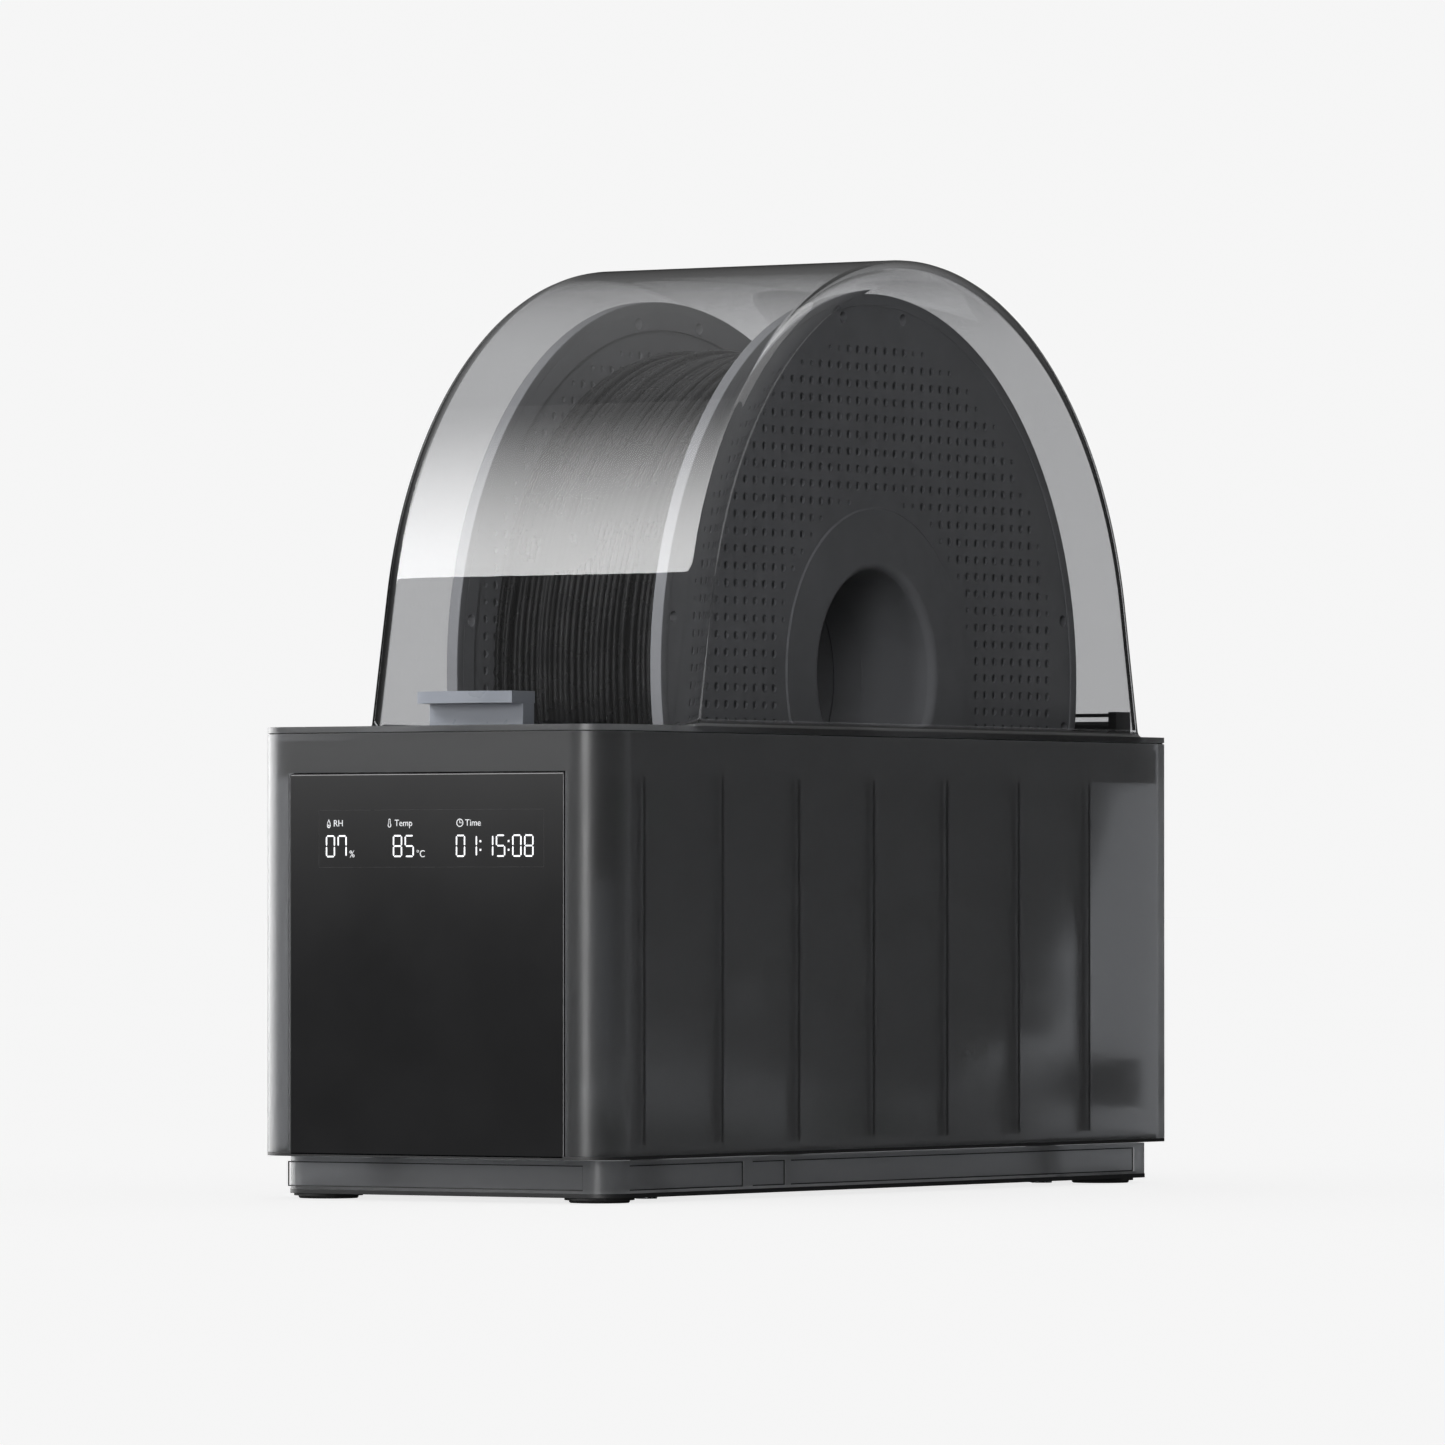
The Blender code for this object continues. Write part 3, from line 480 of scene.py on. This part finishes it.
def figure_bars():
    """The outlines of the three lit readings."""
    low, height, wide, thick = 86.9, 5.6, 2.85, 0.4
    step, colon_step, dot = 3.63, 1.35, 0.5
    bars = []
    for words, x in (("07", -30.9), ("85", -10.1), ("01:15:08", 9.3)):
        for figure in words:
            if figure == ":":
                bars += [rectangle(x, z, x + dot, z + dot) for z in (low + 1.5, low + 3.7)]
                x += colon_step
            else:
                bars += digit_bars(figure, x, low, wide, height, thick)
                x += step
    return bars


def drop_outlines(x, z):
    """The outer and inner outline of the humidity symbol."""
    turns = [2 * math.pi * i / 24 for i in range(24)]
    outer = [(x + 0.75 * math.sin(a) * math.sin(a / 2) ** 1.2, z + 0.15 + 1.15 * math.cos(a)) for a in turns]
    return [outer, [(x + (u - x) * 0.66, z + (v - z) * 0.7) for u, v in outer]]


def thermometer_outlines(x):
    """The outer and inner outline of the temperature symbol."""
    stem_z, bulb_z, middle_z = 96.3, 94.95, 95.5
    stem = [math.pi * i / 8 for i in range(9)]
    bulb = [math.radians(125 + 290 * i / 16) for i in range(17)]
    outer = [(x + 0.32 * math.cos(a), stem_z + 0.32 * math.sin(a)) for a in stem]
    outer += [(x + 0.55 * math.cos(a), bulb_z + 0.55 * math.sin(a)) for a in bulb]
    return [outer, [(x + (u - x) * 0.55, middle_z + (v - middle_z) * 0.82) for u, v in outer]]


def make_display():
    """The readings, their small labels and symbols, and the faint line round the window."""
    face = PANEL_LO.y
    lit = (face - 0.03, face + 0.2)
    add(prism("display_figures", figure_bars(), "Y", *lit), FIGURES, "box", "pale_plastic")
    label_z, unit_z = 94.75, 86.9
    words = [
        text_mesh("label_rh", "RH", -28.6, label_z, 2.35),
        text_mesh("label_temp", "Temp", -9.6, label_z, 2.35),
        text_mesh("label_time", "Time", 12.1, label_z, 2.35),
        text_mesh("label_percent", "%", -23.6, unit_z, 2.5),
        text_mesh("label_celsius", "°C", -2.9, unit_z, 2.5),
    ]
    clock = (10.5, 95.5)
    symbols = {
        "icon_clock": [circle(clock, 1.05, 24), circle(clock, 0.82, 24)],
        "icon_hands": [rectangle(10.4, 95.4, 10.6, 96.15), rectangle(10.62, 95.4, 11.1, 95.55)],
        "icon_drop": drop_outlines(-30.0, 95.3),
        "icon_drop_dot": [circle((-30.0, 95.0), 0.22, 12)],
        "icon_thermometer": thermometer_outlines(-11.15),
    }
    words += [prism(name, outlines, "Y", *lit) for name, outlines in symbols.items()]
    add(merged("display_labels", words), LABELS, "box", "pale_plastic")
    lo, hi = corners("display_module")
    window = prism("display_window_line", border(lo.x, lo.z, hi.x, hi.z, 0.12), "Y", face - 0.01, face + 0.3)
    add(window, WINDOW_LINE, "box", "gloss_black")


def plinth_fields():
    """The recessed fields of the plinth, as low and high corners: three on each side, then the front one."""
    lo, hi = PLINTH_LO, PLINTH_HI
    z0, z1 = lo.z + 1.5, hi.z - 1.2
    spans = [(lo.y + 8.6, MID - 66.5), (MID - 62.5, MID - 47.0), (MID - 44.6, hi.y - 6)]
    sides = []
    for x, out in ((lo.x, -1), (hi.x, 1)):
        x0, x1 = sorted((x + out, x - out * 0.55))
        sides += [((x0, y0, z0), (x1, y1, z1)) for y0, y1 in spans]
    return sides, ((lo.x + 2.6, lo.y - 1, z0), (hi.x - 8.4, lo.y + 0.55, z1))


def make_plinth():
    """The plinth, its screw posts, a dark band along its foot, and thin dark frames round its fields, painted
    shade along the fields' edges.
    """
    lo, hi = PLINTH_LO, PLINTH_HI
    wall, bore, line = 1.6, 1.9, 0.3
    outer = rounded(lo.x, lo.y, hi.x, hi.y, 7.7, 1.0, steps=12)
    inner = rounded(lo.x + wall, lo.y + wall, hi.x - wall, hi.y - wall, 6.1, 0.4, steps=12)
    body = prism("plinth_body", [outer], "Z", lo.z, hi.z, bevel=0.4)
    body = cut(body, prism("plinth_hollow", [inner], "Z", lo.z + wall, hi.z + 2))
    sides, front = plinth_fields()
    body = cut(body, boxes("plinth_grooves", [*sides, front]))
    centres = [(x, MID + y) for x in (-40, 40) for y in (-95, 95)]
    posts = [prism("plinth_post", [circle(centre, 4.0, 24), circle(centre, bore, 16)], "Z", lo.z + wall, hi.z)
             for centre in centres]
    holes = [prism("post_hole", [circle(centre, bore, 16)], "Z", lo.z - 1, lo.z + 3) for centre in centres]
    body = cut(body, *holes)
    add(merged("plinth_body", [body, *posts]), PLINTH_FROST, "box", "smoked_shell", "plinth")
    # Thin dark frames at the borders of the recessed fields: painted shade along their edges.
    lines = []
    for low, high in sides:
        out = 1 if low[0] > 0 else -1
        x0, x1 = sorted((out * (hi.x - 0.6), out * (hi.x - 0.35)))
        lines.append(prism("plinth_line", border(low[1], low[2], high[1], high[2], line), "X", x0, x1))
    low, high = front
    front_shade_line = border(low[0], low[2], high[0], high[2], line)
    lines.append(prism("plinth_line", front_shade_line, "Y", lo.y + 0.35, lo.y + 0.6))
    # A dark band along the plinth's foot.
    foot_band = [rounded(lo.x - 0.15, lo.y - 0.15, hi.x + 0.15, hi.y + 0.15, 7.85, 1.15, steps=12), inner]
    add(prism("plinth_trim", foot_band, "Z", lo.z - 0.3, lo.z + 0.8, bevel=0.15), DARK, "box", "dark_plastic")
    add(merged("plinth_lines", lines), PLINTH_SHADE_LINE, "box", "dark_plastic")


def arch_point(t):
    """A point of the dome's arch and its outward direction, for t from 0 at the front to 1 at the rear."""
    angle = math.pi - DOME_START - (math.pi - 2 * DOME_START) * t
    ny, nz = math.cos(angle) / DOME_RY, math.sin(angle) / DOME_RZ
    size = math.hypot(ny, nz)
    return (DOME_Y + DOME_RY * math.cos(angle), DOME_Z + DOME_RZ * math.sin(angle)), (ny / size, nz / size)


def dome_mesh(name, shrink, bottom, flare):
    """The dome as a closed solid, moved inwards by shrink: rows run along the arch, columns across it. Flare
    widens the foot of its sides in a small fillet."""
    steps, round_steps, across = 96, 8, 10
    (fy, fz), (fny, fnz) = arch_point(0.0)
    slope = fnz / -fny
    levels = [bottom]
    if flare:
        levels += [FLANGE_Z1 + h for h in (0.02, 0.15, 0.4, 0.8, 1.3, 1.9, 2.5, 3.1)]
    levels += [130.0, 140.0, 148.0]
    path = []
    for z in levels:
        path.append(((fy - slope * (fz - z), z), (fny, fnz)))
    for i in range(steps + 1):
        path.append(arch_point(i / steps))
    (ry, rz), (rny, rnz) = arch_point(1.0)
    for z in reversed(levels):
        path.append(((ry + slope * (rz - z), z), (rny, rnz)))
    edge = DOME_EDGE - shrink
    core = DOME_X - DOME_EDGE
    columns = []
    for k in range(round_steps + 1):
        a = math.pi / 2 * k / round_steps
        columns.append((core + edge * math.cos(a), edge * math.sin(a), math.cos(a)))
    for k in range(1, across):
        columns.append((core * (1 - 2 * k / across), edge, 0.0))
    for x, out, side in reversed(columns[: round_steps + 1]):
        columns.append((-x, out, -side))
    shape = bmesh.new()
    grid = []
    for (y, z), (ny, nz) in path:
        y, z = y - ny * DOME_EDGE, z - nz * DOME_EDGE
        row = []
        for x, out, side in columns:
            px, py, pz = x, y + ny * out, z + nz * out
            if flare and pz < FLANGE_Z1 + FILLET and z < 150:
                rise = min(max(pz - FLANGE_Z1, 0.0), FILLET)
                grow = FILLET - math.sqrt(FILLET ** 2 - (FILLET - rise) ** 2)
                px += grow * side
            row.append(shape.verts.new((px * MM, py * MM, pz * MM)))
        grid.append(row)
    for a, b in zip(grid, grid[1:]):
        for i in range(len(columns) - 1):
            shape.faces.new((a[i], a[i + 1], b[i + 1], b[i]))
    count = len(grid)
    for column in (0, len(columns) - 1):
        for i in range(count // 2):
            if count - 1 - i - (i + 1) > 0:
                rows = (i, i + 1, count - 2 - i, count - 1 - i)
                shape.faces.new(list(dict.fromkeys(grid[k][column] for k in rows)))
    shape.faces.new(grid[0])
    shape.faces.new(grid[-1])
    shape.faces.new([grid[0][0], grid[0][-1], grid[-1][-1], grid[-1][0]])
    bmesh.ops.remove_doubles(shape, verts=shape.verts, dist=1e-6)
    bmesh.ops.recalc_face_normals(shape, faces=shape.faces)
    mesh = bpy.data.meshes.new(name)
    shape.to_mesh(mesh)
    shape.free()
    return mesh_object(name, mesh)


def make_dome():
    """The clear dome, and the frosted flange under it with its hinge knuckles and the slot for the tab."""
    hollow_z = 110.0
    dome = dome_mesh("dome_clear", 0.0, FLANGE_Z1 - 0.2, True)
    dome = cut(dome, dome_mesh("dome_inside", DOME_WALL, hollow_z, False))
    add(dome, DOME_CLEAR, "lid", "clear_smoke", "lid_dome", smooth=35)
    dome.visible_shadow = False
    flange = prism("lid_flange", [shell_outline(0)], "Z", FLANGE_Z0, FLANGE_Z1, bevel=0.3)
    flange = cut(flange, dome_mesh("flange_inside", DOME_WALL, hollow_z, False))
    pivot = (MID + 138.0, 119.3)
    knuckles = []
    for x0, x1 in ((-23.7, -6.3), (6.3, 23.7)):
        knuckles.append(boxes("lid_arm", [((x0, MID + 134.0, FLANGE_Z0), (x1, pivot[0], FLANGE_Z1))]))
        knuckles.append(prism("lid_knuckle", [circle(pivot, 2.6, 32)], "X", x0, x1))
    flange = join(flange, *knuckles)
    slot = boxes("tab_slot", [((-5.4, MID - 111.6, 117), (5.4, MID - 106.6, 121))])
    bore = prism("lid_bore", [circle(pivot, 1.6, 24)], "X", -30, 30)
    add(cut(flange, slot, bore), SHELL_FROST, "lid", "smoked_shell")


def make_seal():
    """The lid's seal: a band on the deck with a thin lip that closes the gap over the shell's rim."""
    gap = 0.02
    inner = rounded(-49.3, MID - 90.9, 49.3, MID + 130.2, 3, 0.5)
    lip = prism("lid_seal_lip", [shell_outline(0.45), inner], "Z", SHELL_HI.z + gap, FLANGE_Z0 - gap)
    lo, hi = corners("deck_gasket")
    outer = rounded(lo.x, lo.y, hi.x, hi.y, 3, 0.5)
    band = prism("lid_seal", [outer, inner], "Z", lo.z, SHELL_HI.z + 0.01)
    add(merged("lid_seal", [band, lip]), SEAL, "box", "rubber", "deck_gasket")


def make_tab():
    """The release tab: a plate with a bowed front edge on a block, and the stem and hook under it."""
    lo, hi = corners("release_tab")
    half, rear = hi.x, hi.y
    front, bow, plate_z = lo.y + 2.3, 2.2, 126.0
    outline = [(half, rear), (-half, rear)]
    for i in range(25):
        t = -1 + 2 * i / 24
        outline.append((half * t, front - bow * (1 - t * t)))
    plate = prism("tab_lip", [outline], "Z", plate_z, hi.z, bevel=0.45, segments=3)
    block = boxes("tab_block", [((-half + 0.1, MID - 112.8, 120.4), (half - 0.1, rear, plate_z + 0.3))])
    stem = boxes("tab_stem", [((-5, MID - 111.2, lo.z), (5, MID - 109.0, 121))])
    hook = boxes("tab_hook", [((-5, MID - 113.4, lo.z), (5, MID - 110.5, 112.0))])
    parts = [plate, bevelled(block, 0.3), stem, hook]
    add(merged("tab_piece", parts), TAB_GREY, "tab", "grey_metal", "release_tab")


def spool_circle(radius, steps):
    return circle((SPOOL_Y, SPOOL_Z), radius, steps)


def small_holes():
    """The square grid of small holes over a ring of a spool flange, those at its edges smaller still."""
    pitch = 4.48
    holes = []
    for i in range(-20, 21):
        for j in range(-20, 21):
            y, z = i * pitch, j * pitch
            r = math.hypot(y, z)
            if 46.2 < r < 89.2:
                size = 1.15 if 48.5 < r < 86.5 else 0.75
                holes.append(circle((SPOOL_Y + y, SPOOL_Z + z), size, 8, math.pi / 8))
    return holes


def large_holes():
    """A pair of larger holes near the rim at each quarter of a spool flange."""
    r = 94.6
    angles = [math.radians(1 + 90 * quarter + lean) for quarter in range(4) for lean in (-8.8, 8.8)]
    return [circle((SPOOL_Y + r * math.cos(a), SPOOL_Z + r * math.sin(a)), 1.65, 16) for a in angles]


def make_flange(name, sign, cad):
    """Half of the spool: a drilled sheet with a raised band, a rim and a hub, and a near-black disc in it,
    painted shade at the bottom of its holes.
    """
    x, inner, e = SPOOL_X, FLANGE_INNER, 0.5
    x0, x1 = sorted((sign * (inner + 1.3), sign * (x - 0.35)))
    edges = [spool_circle(FLANGE_RADIUS, 160), spool_circle(HUB_RADIUS, 96)]
    sheet = prism(name, edges + small_holes() + large_holes(), "X", x0, x1)
    x0, x1 = sorted((sign * inner, sign * (inner + 1.4)))
    edges = [spool_circle(FLANGE_RADIUS, 160), spool_circle(92.4, 160)]
    band = prism(f"{name}_band", edges + large_holes(), "X", x0, x1, bevel=0.15)
    rim = [(96.9, x - 0.2), (97.3, x), (SPOOL_R - e, x), (SPOOL_R - 0.12, x - 0.14), (SPOOL_R, x - e),
           (SPOOL_R, inner + e), (SPOOL_R - 0.12, inner + 0.14), (SPOOL_R - e, inner), (97.3, inner),
           (96.9, inner + 0.2)]
    hub = [(27.4, x - 2.2), (27.6, x - 1.5), (28.1, x - 0.8), (28.9, x - 0.25), (30.0, x), (43.4, x),
           (43.9, x - 0.35), (43.9, inner + 0.35), (43.4, inner), (39.5, inner), (39.5, 0.2), (30.4, 0.2),
           (30.4, 9.0), (27.4, 11.0)]
    # A near-black disc in the middle of the sheet: painted shade at the bottom of the holes.
    middle = sign * (inner + x + 0.95) / 2
    edges = [spool_circle(92.6, 96), spool_circle(43.4, 96)]
    hole_shade_disc = prism(f"{name}_backing", edges, "X", middle - 0.2, middle + 0.2)
    add(hole_shade_disc, CHIP, "spool", "spool_plastic")
    parts = [sheet, band]
    for label, profile, steps in (("rim", rim, 160), ("hub", hub, 96)):
        if sign < 0:
            profile = [(r, -h) for r, h in reversed(profile)]
        parts.append(turned(f"{name}_{label}", profile, steps))
    add(merged(name, parts), SPOOL_MATT, "spool", "spool_plastic", cad)


def make_spool():
    make_flange("spool_flange_right", 1, "spool_half_right")
    make_flange("spool_flange_left", -1, "spool_half_left")


def strand(shape, x0, radius, drift, wobble, phase, thick):
    """One wound turn of filament, added to a mesh as a closed tube that wanders a little across the spool."""
    steps, sides = 120, 7
    rings = []
    for i in range(steps):
        a = 2 * math.pi * i / steps
        x = x0 + drift * math.sin(a + phase) + wobble * math.sin(3 * a + 2 * phase)
        r = radius + 0.25 * wobble * math.cos(2 * a + phase)
        ring = []
        for k in range(sides):
            b = 2 * math.pi * k / sides
            rr = r + thick * math.cos(b)
            ring.append(shape.verts.new((
                (x + thick * math.sin(b)) * MM,
                (SPOOL_Y + rr * math.cos(a)) * MM,
                (SPOOL_Z + rr * math.sin(a)) * MM,
            )))
        rings.append(ring)
    for i in range(steps):
        a, b = rings[i], rings[(i + 1) % steps]
        for k in range(sides):
            n = (k + 1) % sides
            shape.faces.new((a[k], a[n], b[n], b[k]))


def make_winding():
    """The top layer of the winding turn by turn, a few stray turns over it, and a plain core under it."""
    rng = random.Random(11)
    shape = bmesh.new()
    half, thick, pitch = 29.0, 0.86, 1.83
    layer, stray = 84.5, 85.7
    count = int(2 * (half - thick) / pitch)
    for i in range(count + 1):
        x = -half + thick + 0.25 + i * pitch
        strand(shape, x, layer + rng.uniform(-0.35, 0.35), rng.uniform(0.0, 0.22), rng.uniform(0.0, 0.07),
               rng.uniform(0, 6.28), thick)
    for i in range(7):
        x = rng.uniform(-half + 4, half - 4)
        strand(shape, x, stray + rng.uniform(-0.3, 0.25), rng.uniform(0.5, 1.8), rng.uniform(0.0, 0.15),
               rng.uniform(0, 6.28), thick * 0.98)
    mesh = bpy.data.meshes.new("filament_strands")
    shape.to_mesh(mesh)
    shape.free()
    strands = mesh_object("filament_strands", mesh)
    core = turned("filament_core", [(84.0, 29.2), (84.0, -29.2), (40.2, -29.2), (40.2, 29.2)], 96)
    winding = merged("filament_strands", [strands, core])
    add(winding, STRAND, "spool", "filament", "filament_winding", smooth=60)


def paint(finish, *names):
    """Gives CAD nodes that keep their shape a better material."""
    for name in names:
        obj = NODES[name]
        for slot in obj.material_slots:
            slot.material = finish
        if not obj.material_slots:
            obj.data.materials.append(finish)


def paint_frame():
    paint(DARK, "front_carrier", "base_plate", "hinge_bracket", "feeder_housing", "outlet_collet",
          "power_inlet", "data_port", "vent_grille", "vent_flap", "guide_bracket", "guide_roller",
          "fan_housing", "fan_rotor")
    paint(TUB_DARK, "chamber_tub")
    paint(CHIP, "deck_frame", "display_module")
    paint(BOARD, "display_board", "control_board", "humidity_sensor")
    paint(STEEL, "plinth_screw_1", "plinth_screw_2", "plinth_screw_3", "plinth_screw_4", "catch_plate",
          "hinge_pin", "tab_spring", "drive_shaft", "idle_shaft", "drive_motor", "feed_drive_wheel",
          "feed_idler_wheel", "heater_core")
    paint(RUBBER, "foot_front_left", "foot_front_right", "foot_rear_left", "foot_rear_right",
          "drive_tyre_left", "drive_tyre_right", "idle_tyre_left", "idle_tyre_right", "drive_belt")
    paint(FOAM, "insulation_left", "insulation_right")
    paint(PALE, "drive_bush_left", "drive_bush_right", "idle_bush_left", "idle_bush_right", "roller_pulley",
          "motor_pulley", "outlet_fitting")


# Stage

BACKDROP = 0.920  # what a straight look at the world shows
SKY_DIFFUSE = 0.25  # what the world gives to lit surfaces
FLOOR_ALBEDO = 0.6
FLOOR_GLOW = BACKDROP - FLOOR_ALBEDO * SKY_DIFFUSE  # so that the floor meets the backdrop without a line


def make_floor():
    made, tree, shader = new_material("floor_pale")
    shader.inputs["Roughness"].default_value = 1.0
    shader.inputs["Specular IOR Level"].default_value = 0.0
    cloud = noise(tree, 2.0, 2.0)
    tones = [(0.3, (FLOOR_ALBEDO - 0.005,) * 3), (0.7, (FLOOR_ALBEDO + 0.005,) * 3)]
    tree.links.new(ramp(tree, cloud, tones), shader.inputs["Base Color"])
    shader.inputs["Emission Color"].default_value = (1, 1, 1, 1)
    shader.inputs["Emission Strength"].default_value = FLOOR_GLOW
    shape = bmesh.new()
    bmesh.ops.create_grid(shape, x_segments=2, y_segments=2, size=60.0)
    mesh = bpy.data.meshes.new("floor")
    shape.to_mesh(mesh)
    shape.free()
    floor = mesh_object("floor", mesh)
    floor.data.materials.append(made)
    floor.visible_glossy = floor.visible_diffuse = False
    return floor


def make_world():
    """A pale backdrop where it is looked at straight or through clear plastic, an even room for lit surfaces,
    and a dim sky that brightens upwards for every ray that has bounced off gloss."""
    world = bpy.data.worlds.new("studio")
    bpy.context.scene.world = world
    world.use_nodes = True
    tree = world.node_tree
    tree.nodes.clear()
    out = node(tree, "ShaderNodeOutputWorld")
    path = node(tree, "ShaderNodeLightPath")
    either = node(tree, "ShaderNodeMath", operation="MAXIMUM")
    tree.links.new(path.outputs["Is Camera Ray"], either.inputs[0])
    tree.links.new(path.outputs["Is Transmission Ray"], either.inputs[1])
    bounced = node(tree, "ShaderNodeMath", operation="GREATER_THAN")
    bounced.inputs[1].default_value = 0.5
    tree.links.new(path.outputs["Glossy Depth"], bounced.inputs[0])
    seen = node(tree, "ShaderNodeMath", operation="SUBTRACT", use_clamp=True)
    tree.links.new(either.outputs[0], seen.inputs[0])
    tree.links.new(bounced.outputs[0], seen.inputs[1])
    plain = node(tree, "ShaderNodeBackground", Color=(1, 1, 1, 1), Strength=BACKDROP)
    room = node(tree, "ShaderNodeBackground", Color=(1, 1, 1, 1), Strength=SKY_DIFFUSE)
    coords = node(tree, "ShaderNodeTexCoord")
    split = node(tree, "ShaderNodeSeparateXYZ")
    tree.links.new(coords.outputs["Generated"], split.inputs[0])
    sky = ramp(tree, split.outputs["Z"], [(0.0, (0.02, 0.02, 0.02)), (0.12, (0.03, 0.03, 0.03)),
                                          (0.5, (0.25, 0.25, 0.25)), (1.0, (0.5, 0.5, 0.5))])
    mirrored = node(tree, "ShaderNodeBackground", Strength=1.0)
    tree.links.new(sky, mirrored.inputs["Color"])
    glossy = node(tree, "ShaderNodeMixShader")
    tree.links.new(bounced.outputs[0], glossy.inputs[0])
    tree.links.new(room.outputs[0], glossy.inputs[1])
    tree.links.new(mirrored.outputs[0], glossy.inputs[2])
    mix = node(tree, "ShaderNodeMixShader")
    tree.links.new(seen.outputs[0], mix.inputs[0])
    tree.links.new(glossy.outputs[0], mix.inputs[1])
    tree.links.new(plain.outputs[0], mix.inputs[2])
    tree.links.new(mix.outputs[0], out.inputs[0])


def softbox(name, centre, aim, width, height, radiance, fade=None, side=None, span=(0.0, 1.0)):
    """An area light that faces a point, its width along side, in metres. With fade, its radiance runs from
    the first number to the second over the span of its height."""
    light = bpy.data.lights.new(name, "AREA")
    light.shape = "RECTANGLE"
    light.size, light.size_y = width, height
    light.energy = radiance * math.pi * width * height
    if fade:
        light.use_nodes = True
        tree = light.node_tree
        emit = tree.nodes["Emission"]
        place = node(tree, "ShaderNodeNewGeometry")
        split = node(tree, "ShaderNodeSeparateXYZ")
        tree.links.new(place.outputs["Parametric"], split.inputs[0])
        shape = node(tree, "ShaderNodeMapRange")
        shape.interpolation_type = "SMOOTHSTEP"
        shape.inputs["From Min"].default_value, shape.inputs["From Max"].default_value = span
        shape.inputs["To Min"].default_value, shape.inputs["To Max"].default_value = fade
        tree.links.new(split.outputs["Y"], shape.inputs["Value"])
        tree.links.new(shape.outputs["Result"], emit.inputs["Strength"])
    made = bpy.data.objects.new(name, light)
    bpy.context.scene.collection.objects.link(made)
    back = (Vector(centre) - Vector(aim)).normalized()
    side = Vector(side) if side else Vector((0, 0, 1)).cross(back).normalized()
    back = (back - side * back.dot(side)).normalized()
    over = back.cross(side)
    turn = Matrix((side, over, back)).transposed().to_4x4()
    made.matrix_world = Matrix.Translation(centre) @ turn
    made.visible_camera = False
    made.visible_transmission = False
    return made


def lit_only(light, name, objects):
    """Limits a light to some objects."""
    shown = bpy.data.collections.new(name)
    for obj in objects:
        shown.objects.link(obj)
    light.light_linking.receiver_collection = shown


def make_lights(floor):
    """Five studio lights, two of which leave out the dome and what is under it, and three fills for the
    spool and its strands. None lights the floor."""
    m = MID * MM
    lights = [
        softbox("key_softbox", (-0.72, m - 0.72, 1.08), (0.0, m - 0.08, 0.18), 1.0, 1.15, 12.0,
                fade=(1.0, 0.02), side=(1, 0, 0)),
        softbox("panel_softbox", (-0.50, m - 0.90, 0.12), (0.0, m - 0.135, 0.06), 0.5, 0.50, 3.2,
                fade=(0.03, 1.0), span=(0.35, 0.82)),
        softbox("corner_strip", (0.33, m - 1.20, 0.15), (0.05, m - 0.13, 0.08), 0.26, 0.60, 15.0),
        softbox("left_softbox", (-1.3, m + 0.1, 0.35), (-0.05, m, 0.1), 1.2, 0.8, 5.0),
        softbox("top_softbox", (0.0, m, 1.6), (0.0, m, 0.1), 1.0, 1.0, 1.6, side=(1, 0, 0)),
    ]
    solid = [obj for obj in bpy.context.scene.objects if obj.type == "MESH" and obj != floor]
    casing = ("shell_", "lid_flange", "lid_seal", "front_panel", "plinth_", "tab_piece", "foot_", "outlet_",
              "vent_", "power_", "data_")
    outer = [obj for obj in solid if obj.name.startswith(casing)]
    for light in lights:
        outer_only = light.name in ("corner_strip", "left_softbox")
        lit_only(light, "lit_by_" + light.name, outer if outer_only else solid)
    strands = [obj for obj in solid if obj.name == "filament_strands"]
    spool = [obj for obj in solid if obj.name.startswith("spool_flange")]
    extra = [
        (softbox("spool_front_fill", (-0.25, m - 1.45, 0.45), (0.0, m - 0.08, 0.15), 1.0, 0.6, 55.0), spool),
        (softbox("spool_side_fill", (0.75, m - 1.5, 0.45), (0.0, m, 0.15), 0.5, 0.5, 50.0), spool),
        (softbox("strand_strip", (-0.05, m - 1.45, 0.40), (0.0, m - 0.08, 0.15), 0.16, 0.9, 14.0), strands),
    ]
    for light, objects in extra:
        light.visible_glossy = objects is strands
        lit_only(light, "lit_by_" + light.name, objects)


def make_camera():
    """A long lens from the front right, a little below the middle of the box and tilted up."""
    yaw, pitch = math.radians(33.447), math.radians(0.988)
    place = (1.5577, -2.3573 + MID * MM, 0.07406)
    data = bpy.data.cameras.new("camera")
    data.lens, data.sensor_width = 267.9, 36.0
    data.clip_end = 200.0
    camera = bpy.data.objects.new("camera", data)
    bpy.context.scene.collection.objects.link(camera)
    forward = Vector((-math.sin(yaw) * math.cos(pitch), math.cos(yaw) * math.cos(pitch), math.sin(pitch)))
    right = Vector((math.cos(yaw), math.sin(yaw), 0.0))
    turn = Matrix((right, right.cross(forward), -forward)).transposed().to_4x4()
    camera.matrix_world = Matrix.Translation(place) @ turn
    bpy.context.scene.camera = camera


bpy.context.scene.view_settings.view_transform = "Standard"
make_camera()
make_shell()
make_panel()
make_display()
make_plinth()
make_dome()
make_seal()
make_tab()
make_spool()
make_winding()
paint_frame()
make_world()
make_lights(make_floor())
